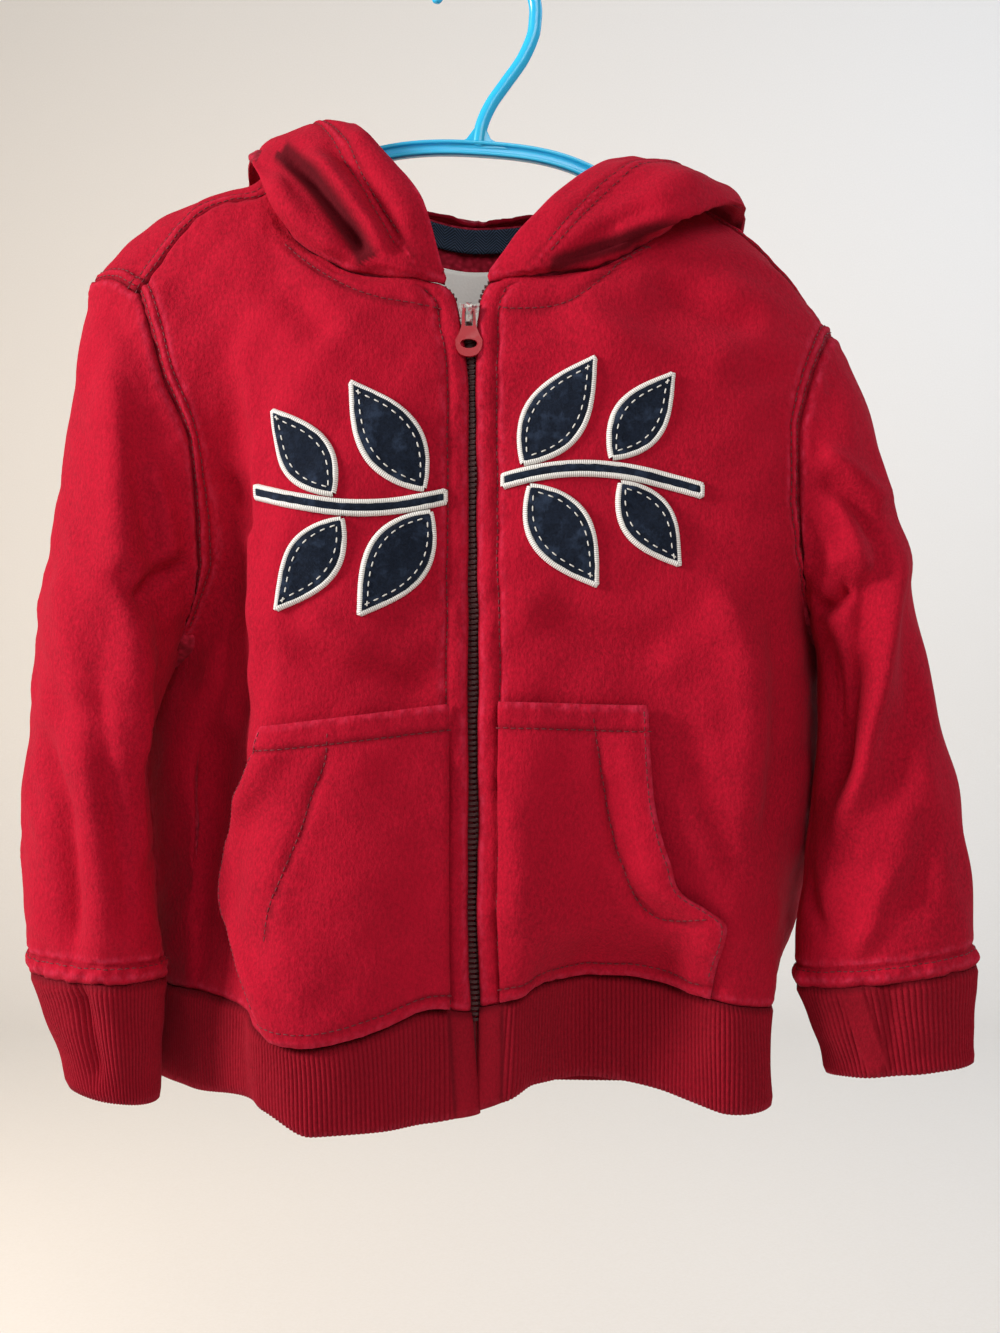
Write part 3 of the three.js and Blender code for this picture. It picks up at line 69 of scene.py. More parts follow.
# Columns of the front panels: zip, strip, inner, middle, ridge, valley, flank, side
FRONT_RIGHT = [
    [(-4, -42, -526), (-24, -47, -529), (-45, -59, -529), (-74, -67, -529), (-96, -52, -522),
     (-108, -33, -521), (-130, -13, -524), (-163, 27, -526)],
    [(-6, -41, -481), (-24, -46, -479), (-47, -59, -486), (-76, -68, -491), (-98, -56, -487),
     (-109, -33, -481), (-132, -10, -479), (-164, 28, -481)],
    [(-7, -45, -440), (-30, -52, -438), (-60, -62, -439), (-84, -63, -439), (-98, -53, -439),
     (-111, -27, -441), (-133, -9, -441), (-165, 30, -442)],
    [(-7, -47, -383), (-30, -52, -383), (-60, -58, -384), (-86, -57, -384), (-101, -46, -384),
     (-113, -22, -384), (-134, -8, -383), (-166, 30, -382)],
    [(-7.5, -46, -331), (-32, -50, -331), (-62, -56, -329), (-88, -56, -327), (-104, -45, -325),
     (-115, -22, -323), (-130, -12, -324), (-151, 22, -337)],
    [(-7, -45, -305), (-32, -50, -303), (-62, -55, -301), (-88, -55, -299), (-104, -44, -298),
     (-114, -25, -297), (-127, -13, -301), (-143, 2, -313)],
    [(-7, -44, -278), (-32, -50, -278), (-63, -55, -275), (-88, -54, -272), (-104, -43, -269),
     (-112, -32, -267), (-121, -24, -270), (-132, -16, -279)],
    [(-7, -42, -223), (-34, -48, -221), (-64, -50, -215), (-87, -47, -210), (-105, -38, -206),
     (-114, -31, -207), (-124, -28, -213), (-134, -25, -228)],
    [(-10, -38, -180), (-36, -44, -180), (-64, -45, -176), (-86, -41, -172), (-103, -35, -170),
     (-115, -30, -174), (-130, -28, -182), (-146, -27, -197)],
    [(-18, -33.5, -157), (-45, -40, -162), (-69, -41, -162), (-89, -37, -161), (-104, -33, -160),
     (-118, -29, -164), (-134, -26, -170), (-151, -25, -180)],
    [(-62, -34.5, -151), (-76, -35, -150), (-88, -34, -149), (-100, -31, -148), (-112, -28, -149),
     (-124, -26, -152), (-138, -24, -158), (-155, -23, -167)],
    [(-86, -24, -134), (-96, -25, -134), (-105, -24, -134), (-114, -23, -135), (-123, -22, -138),
     (-133, -21, -143), (-144, -20.5, -150), (-157, -21, -161)],
    [(-99, -12, -108), (-108, -12.5, -109.5), (-117, -13, -112), (-126, -13.5, -116),
     (-134, -14.5, -121), (-142, -16, -129), (-150, -17.5, -141), (-159, -19, -157)],
]
FRONT_LEFT = [
    [(-1, -42, -525), (10, -42, -521), (24, -28, -517), (48, -10, -518), (80, -18, -522),
     (108, -34, -529), (128, -24, -530), (133, 12, -531)],
    [(-2, -40, -479), (12, -42, -476), (26, -28, -471), (48, -10, -470), (80, -16, -473),
     (108, -34, -479), (128, -24, -483), (136, 16, -486)],
    [(-3, -44, -440), (16, -50, -438), (32, -42, -439), (52, -32, -440), (80, -36, -439),
     (108, -41, -440), (131, -22, -447), (152, 29, -450)],
    [(-3, -46, -382), (16, -52, -382), (36, -44, -383), (58, -39, -383), (84, -42, -383),
     (110, -41, -384), (133, -22, -386), (160, 32, -390)],
    [(-2.5, -46, -330), (18, -50, -329), (40, -47, -327), (64, -45, -324), (90, -44, -321),
     (114, -40, -318), (135, -25, -318), (160, 30, -333)],
    [(-3, -45, -303), (18, -50, -303), (42, -47, -302), (66, -45, -299), (92, -43, -296),
     (114, -39, -293), (133, -30, -291), (150, -2, -298)],
    [(-3.5, -44, -278), (18, -49, -278), (44, -47, -275), (70, -45, -272), (95, -43, -270),
     (115, -40, -268), (130, -35, -267), (144, -23, -271)],
    [(-4, -42, -223), (19, -46, -222), (45, -45, -217), (70, -43, -212), (94, -40, -209),
     (112, -37, -207), (127, -33, -210), (142, -27, -226)],
    [(-3.5, -38.5, -183), (17, -42, -182), (42, -42, -179), (66, -40, -176), (89, -36, -174),
     (108, -33, -174), (128, -28, -181), (148, -22, -201)],
    [(2, -33.5, -156), (30, -37, -159), (53, -37, -159), (75, -34, -157), (95, -30, -157),
     (113, -27, -159), (132, -23, -168), (152, -18, -190)],
    [(50, -32.5, -150), (63, -31, -148), (77, -29, -147), (92, -26, -146), (107, -23, -147),
     (121, -20, -150), (137, -17, -160), (156, -14, -182)],
    [(82, -18, -128), (90, -17, -128), (99, -16, -130), (109, -14, -132), (119, -12, -136),
     (130, -10, -142), (144, -8, -153), (160, -6, -175)],
    [(84, 4, -103), (94, 4.5, -107), (104, 5, -112), (115, 6, -118), (126, 7, -126), (138, 7, -136),
     (151, 7.5, -149), (165, 8, -171)],
]

# Back panel, level rows: right edge, middle (depth and height), left edge
BACK_SHARES = (0, 0.12, 0.22, 0.28, 0.38, 0.5, 0.64, 0.74, 0.79, 0.9, 1)
BACK_LOWER = [
    ((-163, 27, -526), (27, -529), (133, 12, -531)),
    ((-164, 28, -481), (27, -484), (136, 16, -486)),
    ((-165, 30, -442), (28, -446), (152, 29, -450)),
    ((-166, 30, -382), (30, -388), (160, 32, -390)),
    ((-151, 22, -337), (31, -336), (160, 30, -333)),
    ((-143, 2, -313), (31, -308), (150, -2, -298)),
    ((-142, 20, -277), (31, -274), (155, 18, -270)),
    ((-149, 27, -232), (31, -232), (156, 26, -232)),
    ((-160, 29, -195), (31, -194), (160, 27, -200)),
]
# Back panel over the shoulders, from the right armhole past the neck to the left armhole
BACK_UPPER = [
    [(-172, 25, -168), (-140, 28, -156), (-114, 28, -150), (-94, 29, -149), (-58, 31, -154),
     (-6, 31, -160), (46, 31, -157), (78, 29, -151), (94, 28, -151), (128, 26, -162), (163, 20, -183)],
    [(-186, 4, -147), (-150, 6, -115), (-118, 9, -103), (-101, 12, -98), (-62, 27, -113),
     (-5, 31, -134), (52, 27, -121), (80, 17, -108), (95, 14, -111), (135, 13, -134), (165, 14, -177)],
    [(-174, -10, -148), (-138, -5, -115), (-110, -3, -102), (-99, 5, -95), (-61, 26, -105),
     (-4, 31, -123), (51, 26, -114), (79, 14, -105), (90, 9, -107), (131, 10, -130),
     (165.5, 11, -173.5)],
    [(-159, -19, -157), (-128, -14, -117), (-99, -12, -108), (-98, 3, -92), (-60, 24.5, -99),
     (-4, 30, -114), (50, 25, -108), (78, 12, -102), (84, 4, -103), (125, 7, -126), (165, 8, -171)],
]

# Sleeve rings: outermost place, innermost place, swell to the front, to the back, lean
SLEEVE_RIGHT = [
    ((-190, 1, -178), (-146, 2, -324), 36, 34, 8),
    ((-197, -2, -228), (-152, -2, -342), 38, 36, 14),
    ((-205, -4, -285), (-156, -6, -362), 39, 38, 18),
    ((-212, -5, -340), (-158, -8, -386), 38, 39, 18),
    ((-216, -5, -390), (-156, -9, -416), 37, 39, 16),
    ((-216, -5, -432), (-151, -9, -445), 36, 37, 14),
    ((-213, -5, -469), (-148, -8, -470), 34, 34, 10),
]
SLEEVE_LEFT = [
    ((173, 2, -188), (152, -2, -308), 30, 31, 4),
    ((186, 1, -228), (155, -1, -325), 31, 31, 4),
    ((198, -1, -282), (156, 0, -350), 31, 30, 4),
    ((209, -3, -335), (154, 0, -382), 30, 29, 2),
    ((219, -5, -385), (151, -2, -415), 29, 28, 0),
    ((226, -6, -428), (147, -4, -447), 28, 27, 0),
    ((228, -8, -465), (144, -6, -476), 25, 24, 0),
]

# Hood profiles: neck place, then rise, swell, crest, turn, roll and edge
HOOD_RIGHT = [
    (("front", 9), [(-17.2, -33.1, -154), (-17.4, -33.2, -153.3), (-17.6, -33.2, -152.6),
                    (-17.9, -33.2, -152),
     (-18.2, -33.2, -151.3), (-18.5, -33.2, -150.6)]),
    (("front", 9.5), [(-39.5, -39.5, -150), (-40, -39.5, -142), (-38.5, -38, -134), (-35.5, -36, -127),
     (-32, -34, -122), (-28, -32, -118)]),
    (("front", 10.1), [(-71, -36.5, -138), (-75, -33, -120), (-74, -26, -103), (-68, -20, -91),
                       (-58, -17, -87),
     (-46, -18, -94)]),
    (("front", 11.3), [(-99, -20, -112), (-105, -6, -92), (-102, 8, -79), (-91, 12, -72), (-77, 6, -71),
                       (-63, -3, -75)]),
    (("back", 2), [(-106, -8, -98), (-112, 4, -86), (-108, 18, -77), (-96, 22, -71), (-82, 17, -71),
                   (-69, 7, -74)]),
    (("back", 3), [(-110, 7, -84), (-116, 16, -82), (-112, 26, -76), (-100, 29, -71), (-87, 25, -72),
                   (-74, 16, -74)]),
    (("back", 3.4), [(-104, 27, -88), (-116, 42, -118), (-112, 58, -172), (-99, 72, -168), (-90, 66, -112),
     (-82, 44, -86)]),
    (("back", 4), [(-66, 37, -98), (-84, 45, -176), (-80, 54, -256), (-66, 80, -256), (-62, 92, -190),
     (-58, 82, -128)]),
    (("back", 5), [(-4, 40, -110), (-4, 45, -196), (-4, 54, -292), (-4, 82, -296), (-4, 98, -224),
                   (-4, 94, -152)]),
]
HOOD_LEFT = [
    (("front", 9), [(1.2, -33.1, -153), (1.4, -33.2, -152.4), (1.6, -33.2, -151.8), (1.8, -33.2, -151.2),
     (2, -33.2, -150.6), (2.2, -33.2, -150)]),
    (("front", 9.5), [(25.5, -39, -150), (25, -39.5, -144), (23, -38, -138), (20, -36, -134.5),
                      (17, -34.5, -133.5),
     (13, -33, -136)]),
    (("front", 10.1), [(57.5, -38.5, -141), (57.5, -38, -130), (52, -33, -119), (45, -28, -112.5),
                       (38.5, -25, -111.5),
     (32, -24.5, -114)]),
    (("front", 11), [(90, -33, -126), (96, -31, -112), (89, -22, -101), (78, -14, -95), (67, -9, -93),
                     (56, -7, -93.5)]),
    (("back", 8), [(106, -9, -114), (123, 3, -113), (119, 13, -102), (103, 15, -94), (88, 12, -89),
                   (73, 8, -87)]),
    (("back", 7), [(101, 26, -103), (116, 44, -140), (106, 60, -190), (93, 73, -176), (84, 66, -122),
                   (78, 42, -96)]),
    (("back", 6), [(60, 38, -106), (76, 46, -180), (72, 55, -258), (58, 81, -258), (54, 93, -192),
                   (50, 82, -132)]),
    (("back", 5), [(-4, 40, -110), (-4, 45, -196), (-4, 54, -292), (-4, 82, -296), (-4, 98, -224),
                   (-4, 94, -152)]),
]

# Pockets: inner edge, curve towards the opening, rows (height, reach), top and bottom at the zip
POCKET_RIGHT = (-16, 1.6, [(-480, -94), (-466, -99), (-450, -107), (-440, -116), (-428, -117.5), (-412, -114),
                           (-395, -108), (-376, -101), (-354, -95.5)], -344.5, -474)
POCKET_LEFT = (7, 1.0, [(-471, 102), (-458, 104), (-441, 107), (-434, 99), (-428, 89), (-414, 82),
                        (-396, 77), (-372, 74), (-345, 72)], -343.5, -470)
CUFF_RIGHT_END = ((-194, -6, -522), (-151, -7, -527), 27, 26, 6)
CUFF_LEFT_END = ((227, -8, -511), (159, -7, -517), 17, 17, 0)

# Vine of the applique, and its leaves: stalk, side of the vine, direction, length, width
VINE = dict(z=-250, swing=9, middle=-5, reach=100, width=5, stalk=5.5)
LEAVES = [(-27, 1, 124, 56, 26), (-24, -1, 236, 54, 26), (-66, 1, 126, 46, 22), (-62, -1, 234, 48, 22),
          (17, 1, 56, 56, 26), (20, -1, -56, 52, 26), (56, 1, 54, 46, 22), (60, -1, -54, 44, 22)]
STEMS = ((-102, -17.5), (8, 96))

# Hanger
BAR = [(-151, -133), (-118, -118), (-86, -101), (-45, -87), (-3.5, -85), (40, -92), (84, -116),
       (118, -136), (147, -160)]
STEM = [(-3.5, -84), (-1.8, -74), (2.6, -64), (9.6, -54), (17.3, -43), (22.2, -32), (23.5, -24)]
BAR_SKEW = 0.02
HOOK_BORE = 20.5
HOOK_TURN = 168

# Zip
SLIDER_Z = -172.0
TOOTH_PITCH = 2.4


# Curves and surfaces through the table points

def through(points, knots, values):
    """Cubic curves through points (K, N, 3), one for each N, flat at crests, at their own values."""
    steps = np.diff(knots)
    secants = np.diff(points, axis=0) / steps[:, None, None]
    before, after = secants[:-1], secants[1:]
    left, right = steps[:-1, None, None], steps[1:, None, None]
    mean = (before * right + after * left) / (left + right)
    size = np.minimum(np.abs(mean), 3 * np.minimum(np.abs(before), np.abs(after)))
    inner = np.where(before * after > 0, np.sign(mean) * size, 0)
    slopes = np.concatenate([secants[:1], inner, secants[-1:]])
    i = np.clip(np.searchsorted(knots, values, side="left") - 1, 0, len(knots) - 2)
    n = np.arange(points.shape[1])
    h = steps[i][:, None]
    s = (values - knots[i])[:, None] / h
    return (points[i, n] * (2 * s ** 3 - 3 * s ** 2 + 1) + slopes[i, n] * (s ** 3 - 2 * s ** 2 + s) * h
            + points[i + 1, n] * (3 * s ** 2 - 2 * s ** 3) + slopes[i + 1, n] * (s ** 3 - s ** 2) * h)


def mean_knots(lines):
    steps = np.linalg.norm(np.diff(lines, axis=1), axis=2).mean(0)
    return np.concatenate([[0], np.cumsum(np.maximum(steps, 0.5))])


def knot_at(knots, places):
    return np.interp(places, np.arange(len(knots)), knots)


class Cloth:
    """A cloth surface from a net of points; places count in table columns and rows."""

    def __init__(self, net, row_knots=None):
        self.net = np.asarray(net, float)
        self.column_knots = mean_knots(self.net)
        self.row_knots = mean_knots(self.net.swapaxes(0, 1)) if row_knots is None else row_knots
        self.columns = self.net.shape[1] - 1
        self.rows = self.net.shape[0] - 1

    def grid(self, columns, rows):
        u = knot_at(self.column_knots, columns)
        lines = np.array([through(np.repeat(row[:, None], len(u), 1), self.column_knots, u)
                          for row in self.net])
        return np.array([through(lines, self.row_knots, np.full(len(u), v))
                         for v in knot_at(self.row_knots, rows)])

    def at(self, columns, rows):
        columns, rows = np.broadcast_arrays(np.asarray(columns, float), np.asarray(rows, float))
        u, v = knot_at(self.column_knots, columns.ravel()), knot_at(self.row_knots, rows.ravel())
        lines = np.array([through(np.repeat(row[:, None], len(u), 1), self.column_knots, u)
                          for row in self.net])
        return through(lines, self.row_knots, v).reshape(columns.shape + (3,))

    def normal(self, columns, rows, flip):
        step = 0.02
        along = (self.at(np.minimum(columns + step, self.columns), rows)
                 - self.at(np.maximum(columns - step, 0), rows))
        up = (self.at(columns, np.minimum(rows + step, self.rows))
              - self.at(columns, np.maximum(rows - step, 0)))
        return unit(np.cross(along, up)) * (-1 if flip else 1)

    def find(self, x, z):
        """Places whose x and z are given."""
        shape = x.shape
        x, z = x.ravel(), z.ravel()
        far = (self.net[..., 0].ravel()[:, None] - x) ** 2 + (self.net[..., 2].ravel()[:, None] - z) ** 2
        row, column = np.divmod(far.argmin(0), self.columns + 1)
        row, column = row.astype(float), column.astype(float)
        for _ in range(14):
            c_step = np.where(column > self.columns - 0.01, -0.01, 0.01)
            r_step = np.where(row > self.rows - 0.01, -0.01, 0.01)
            p = self.at(column, row)
            pc = (self.at(column + c_step, row) - p) / c_step[:, None]
            pr = (self.at(column, row + r_step) - p) / r_step[:, None]
            det = pc[:, 0] * pr[:, 2] - pr[:, 0] * pc[:, 2]
            dx, dz = x - p[:, 0], z - p[:, 2]
            column = np.clip(column + np.clip((dx * pr[:, 2] - dz * pr[:, 0]) / det, -0.7, 0.7), 0,
                             self.columns)
            row = np.clip(row + np.clip((pc[:, 0] * dz - pc[:, 2] * dx) / det, -0.7, 0.7), 0, self.rows)
        return column.reshape(shape), row.reshape(shape)


def unit(v):
    return v / np.maximum(np.linalg.norm(v, axis=-1, keepdims=True), 1e-9)


def smooth_step(t):
    t = np.clip(t, 0, 1)
    return t * t * (3 - 2 * t)


def fine_places(knots, first, last, step, edges=(True, True), reach=15.0, edge_step=1.1):
    """Places from first to last so many millimetres apart, and closer near the edges."""
    start, end = knot_at(knots, [first, last])
    low = start + reach if edges[0] else start
    high = end - reach if edges[1] else end
    runs = [np.linspace(low, high, max(2, round((high - low) / step)))]
    if edges[0]:
        runs.insert(0, np.linspace(start, low, round(reach / edge_step))[:-1])
    if edges[1]:
        runs.append(np.linspace(high, end, round(reach / edge_step))[1:])
    return np.interp(np.concatenate(runs), knots, np.arange(len(knots)))


def grid_normals(points, closed=False, flip=False):
    along = np.roll(points, -1, 1) - np.roll(points, 1, 1) if closed else np.gradient(points, axis=1)
    return unit(np.cross(along, np.gradient(points, axis=0))) * (-1 if flip else 1)


def photo_place(points):
    """Where points show in the photograph, in its pixels."""
    size = PIXEL * (1 + points[..., 1] / CAMERA_AWAY)
    return np.stack([PHOTO_CENTRE[0] + (points[..., 0] - CENTRE[0]) / size,
                     PHOTO_CENTRE[1] - (points[..., 2] - CENTRE[1]) / size], -1)


def rounded(points, count=40):
    """An even curve through a few points."""
    points = np.asarray(points, float)
    knots = np.concatenate([[0], np.cumsum(np.linalg.norm(np.diff(points, axis=0), axis=1))])
    values = np.linspace(0, knots[-1], count)
    flat = points.shape[1] == 2
    if flat:
        points = np.column_stack([points, np.zeros(len(points))])
    if len(points) < 3:
        curve = points[0] + (points[-1] - points[0]) * (values / knots[-1])[:, None]
    else:
        curve = through(np.repeat(points[:, None], count, 1), knots, values)
    return curve[:, :2] if flat else curve


def beside(places, path):
    """For flat places: distance from a path, its side, and the share of the path passed."""
    start, step = path[:-1], np.diff(path, axis=0)
    length = np.maximum(np.linalg.norm(step, axis=1), 1e-6)
    rel = places[:, None] - start
    t = np.clip((rel * step).sum(-1) / length ** 2, 0, 1)
    off = np.linalg.norm(rel - t[..., None] * step, axis=-1)
    k, n = off.argmin(1), np.arange(len(places))
    side = np.sign(step[k, 0] * rel[n, k, 1] - step[k, 1] * rel[n, k, 0])
    arc = np.concatenate([[0], np.cumsum(length)])[k] + t[n, k] * length[k]
    return off[n, k], side, arc / length.sum(), arc


def waves(points, size, seed):
    """Soft uneven waves over space, about size millimetres apart, between -1 and 1."""
    chance = np.random.default_rng(seed)
    total = np.zeros(points.shape[:-1])
    for _ in range(7):
        way = unit(chance.normal(size=3)) * (2 * math.pi / size) * chance.uniform(0.6, 1.5)
        total += np.sin(points @ way + chance.uniform(0, 6.3))
    return total / 4


# Folds, in the photograph's pixels: points, height in mm (sunk when negative), half width in mm
FOLDS_FRONT = [
    ([(232, 330), (246, 393), (248, 479), (243, 531), (245, 583), (249, 631), (248, 671), (250, 743)],
     2.4, 5),
    ([(224, 341), (228, 393), (226, 479), (220, 531), (218, 583), (220, 640), (216, 700), (208, 760),
      (198, 850), (190, 940)],
     -7.5, 13),
    ([(221, 611), (225, 654), (218, 707), (214, 750)], 2.7, 5),
    ([(206, 470), (228, 500), (240, 540)], -2.7, 6),
    ([(250, 250), (300, 300), (330, 350)], -2.0, 9),
    ([(275, 640), (330, 668), (400, 684), (450, 690)], -2.5, 8),
    ([(290, 600), (350, 640), (440, 655)], 2.0, 9),
    ([(511, 779), (515, 850), (517, 939)], 3.1, 6),
    ([(530, 600), (600, 640), (680, 660)], -2.4, 9),
    ([(560, 300), (620, 340), (690, 360), (760, 350)], 2.4, 10),
    ([(640, 270), (700, 300), (770, 330)], -2.4, 8),
    ([(700, 560), (740, 640), (752, 740), (748, 840)], 3.1, 8),
    ([(760, 560), (778, 640), (778, 760), (765, 870)], -2.7, 6),
    ([(680, 700), (700, 780), (730, 850), (745, 900)], -2.7, 7),
    ([(600, 985), (650, 960), (690, 950)], -2.0, 6),
]
FOLDS_SLEEVE_RIGHT = [
    ([(75, 700), (84, 760), (96, 840), (100, 930), (98, 968)], 2.6, 9),
    ([(120, 560), (134, 600), (150, 618)], -3.0, 5),
    ([(110, 307), (114, 359), (119, 445), (124, 548), (133, 617), (143, 707), (154, 786), (162, 868),
      (171, 939)],
     3.4, 7),
    ([(32, 707), (43, 750), (57, 800), (64, 843), (68, 893), (71, 939), (75, 971)], -4.2, 5),
    ([(133, 605), (160, 575), (190, 560)], -4.6, 4),
    ([(95, 640), (100, 720), (112, 800), (125, 880), (130, 950)], -2.5, 6),
    ([(60, 560), (70, 640), (84, 720)], 2.3, 8),
    ([(150, 450), (165, 520), (172, 580)], 2.7, 5),
]
FOLDS_SLEEVE_LEFT = [
    ([(806, 604), (822, 607), (838, 598), (852, 583)], -5.0, 4),
    ([(812, 612), (820, 650), (824, 700), (822, 760)], -3.6, 6),
    ([(868, 520), (866, 580), (858, 640), (846, 700), (836, 770), (826, 820)], -3.4, 7),
    ([(822, 560), (845, 560), (872, 575)], 3.2, 6),
    ([(896, 515), (894, 563), (888, 619), (883, 664), (872, 725), (861, 779), (847, 814), (836, 836),
      (831, 861)],
     5.1, 6),
    ([(894, 861), (879, 896), (869, 929), (844, 957)], 3.2, 6),
    ([(824, 682), (815, 743), (808, 800), (806, 850), (811, 896), (826, 936), (835, 961)], -2.2, 3),
    ([(815, 450), (850, 470), (890, 510)], 2.9, 5),
    ([(812, 475), (850, 500), (880, 545)], -2.9, 4),
    ([(830, 480), (852, 530), (880, 600)], 1.9, 5),
    ([(915, 560), (915, 660), (905, 760), (890, 830)], -2.6, 7),
    ([(862, 640), (850, 700), (838, 760), (822, 800)], -2.9, 6),
    ([(940, 800), (925, 870), (900, 930)], -1.9, 7),
]
FOLDS_HOOD_RIGHT = [
    ([(280, 150), (300, 165), (318, 186), (336, 210), (354, 236), (368, 260)], -9.0, 4.2),
    ([(296, 150), (318, 163), (342, 188), (362, 215), (380, 242), (388, 264)], 4.0, 3.8),
    ([(312, 141), (340, 152), (362, 175), (380, 204), (394, 234), (402, 264)], -6.0, 3.6),
    ([(335, 137), (362, 146), (382, 170), (402, 205), (416, 240)], 1.8, 6),
    ([(274, 160), (280, 190), (298, 216), (324, 240), (348, 260)], 4.0, 6),
]
FOLDS_HOOD_LEFT = [
    ([(747, 230), (707, 229), (677, 231), (647, 237), (625, 243), (599, 250), (577, 259), (559, 267),
      (558, 278)],
     -3.4, 4),
    ([(740, 215), (700, 212), (660, 220), (610, 235)], 2.6, 6),
    ([(660, 205), (620, 222), (585, 245), (560, 268)], -1.6, 4),
    ([(700, 196), (650, 200), (600, 222), (560, 250)], 1.4, 5),
]
# The band below the neck seam: its swell, then its lower stitch line
NECK_BAND_RIGHT = [(286, 245), (300, 257), (328, 276), (352, 288), (379, 297), (414, 303), (441, 309)]
NECK_BAND_LEFT = [(499, 307), (514, 308), (544, 307), (566, 302), (588, 289), (607, 274), (625, 259),
                  (647, 246)]
NECK_SWELL_RIGHT = [(276, 218), (290, 240), (320, 262), (350, 275), (384, 284), (416, 290), (444, 293)]
NECK_SWELL_LEFT = [(492, 293), (514, 295), (538, 295), (562, 290), (582, 278), (602, 264), (622, 252),
                   (642, 242)]
# The stitch line of each pocket's turned opening
POCKET_HEM_RIGHT = [(327, 736), (325, 761), (314, 789), (300, 832), (282, 875), (268, 911), (264, 939)]
POCKET_HEM_LEFT = [(594, 721), (599, 757), (606, 800), (615, 843), (626, 875), (640, 904), (658, 918),
                   (683, 921),
                   (704, 920)]
FOLDS_CUFF_RIGHT = [([(76, 976), (86, 1020), (93, 1052), (97, 1094)], -4.5, 4),
                    ([(100, 980), (112, 1030), (120, 1090)], 2.0, 7)]
FOLDS_CUFF_LEFT = [([(884, 966), (890, 1010), (892, 1056)], -2.4, 4),
                   ([(820, 985), (836, 1030), (846, 1070)], 1.6, 6)]
# The cuff seam that shows on the wearer's left
CUFF_SEAM = [(846, 974), (858, 1010), (870, 1045), (880, 1072)]


def folds_over(points, normals, folds, facing=-1):
    """How far the folds move each point along its normal, where the cloth faces the viewer."""
    flat = photo_place(points).reshape(-1, 2)
    seen = smooth_step(facing * normals[..., 1].ravel() * 2.2 + 0.15)
    total = np.zeros(len(flat))
    for path, height, width in folds:
        off, _, share, _ = beside(flat, rounded(path, 24))
        away = off * PIXEL / width
        ends = smooth_step(share / 0.22) * smooth_step((1 - share) / 0.22)
        total += height * np.exp(-away ** 2) * ends
    return (total * seen).reshape(points.shape[:-1])


def from_edge(points, edge):
    """Distance over the cloth from one edge of a grid."""
    axis = 1 if edge in ("left", "right") else 0
    steps = np.linalg.norm(np.diff(points, axis=axis), axis=2)
    pad = [(0, 0), (0, 0)]
    pad[axis] = (1, 0)
    away = np.cumsum(np.pad(steps, pad), axis=axis)
    if edge in ("right", "top"):
        away = np.take(away, [-1], axis=axis) - away
    return away


def calm(*distances):
    """Folds die away before the edges that two pieces share, so that the edges meet."""
    return smooth_step(np.minimum.reduce(np.broadcast_arrays(*distances)) / 13)


def seam(away, points, stitches=(), band=0.0, pucker=0.35, seed=1):
    """A seam's trench, the raised allowance beside it, its sunk stitch lines and its puckers."""
    relief = -0.8 * np.exp(-(away / 1.3) ** 2)
    if band:
        relief += 1.0 * smooth_step((away - 0.5) / 1.5) * smooth_step((band + 1.8 - away) / 2.2)
    for line in stitches:
        relief -= 0.9 * np.exp(-((away - line) / 1.0) ** 2)
    near = np.exp(-(away / 11.0) ** 2)
    return relief + 1.5 * pucker * waves(points, 9.0, seed) * near


# Meshes

COVER = {}


def shell_faces(rows, columns, closed):
    """Outer, inner and rim faces of a wall between two grids."""
    across = columns if closed else columns - 1
    r, c = np.meshgrid(np.arange(rows - 1), np.arange(across), indexing="ij")
    def spot(side, row, column):
        return side * rows * columns + row * columns + column % columns
    def quads(a, b, c_, d):
        return np.stack([a, b, c_, d], -1).reshape(-1, 4)
    outer = quads(spot(0, r, c), spot(0, r, c + 1), spot(0, r + 1, c + 1), spot(0, r + 1, c))
    inner = quads(spot(1, r, c), spot(1, r + 1, c), spot(1, r + 1, c + 1), spot(1, r, c + 1))
    c = np.arange(across)
    rim = [quads(spot(0, 0, c), spot(1, 0, c), spot(1, 0, c + 1), spot(0, 0, c + 1)),
           quads(spot(0, rows - 1, c), spot(0, rows - 1, c + 1), spot(1, rows - 1, c + 1),
                 spot(1, rows - 1, c))]
    if not closed:
        r = np.arange(rows - 1)
        last = columns - 1
        rim += [quads(spot(0, r, 0), spot(0, r + 1, 0), spot(1, r + 1, 0), spot(1, r, 0)),
                quads(spot(0, r, last), spot(1, r, last), spot(1, r + 1, last), spot(0, r + 1, last))]
    return outer, inner, np.concatenate(rim)


def make_mesh(name, points, faces, materials, which=None, wear_and_shade=None, uv=None):
    """A smooth piece in metres from points in millimetres."""
    mesh = bpy.data.meshes.new(name)
    points = np.asarray(points, float).reshape(-1, 3) * MM
    mesh.from_pydata(points.tolist(), [], faces.tolist() if hasattr(faces, "tolist") else faces)
    for material in materials:
        mesh.materials.append(material)
    if which is not None:
        mesh.polygons.foreach_set("material_index", np.asarray(which, np.int32))
    mesh.polygons.foreach_set("use_smooth", np.ones(len(mesh.polygons), bool))
    # The attribute holds wear where it is above zero and painted shade where it is below zero.
    if wear_and_shade is not None:
        layer = mesh.attributes.new("wear_and_shade", "FLOAT", "POINT")
        layer.data.foreach_set("value", np.asarray(wear_and_shade, np.float32).ravel())
    if uv is not None:
        corners = np.empty(len(mesh.loops), np.int32)
        mesh.loops.foreach_get("vertex_index", corners)
        layer = mesh.uv_layers.new(name="thread")
        layer.data.foreach_set("uv", np.asarray(uv, np.float32)[corners].ravel())
    mesh.update()
    piece = bpy.data.objects.new(name, mesh)
    bpy.context.scene.collection.objects.link(piece)
    return piece


def settle(piece, slot, *nodes, body="garment"):
    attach(piece, body)
    if nodes:
        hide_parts(*nodes)
    return piece


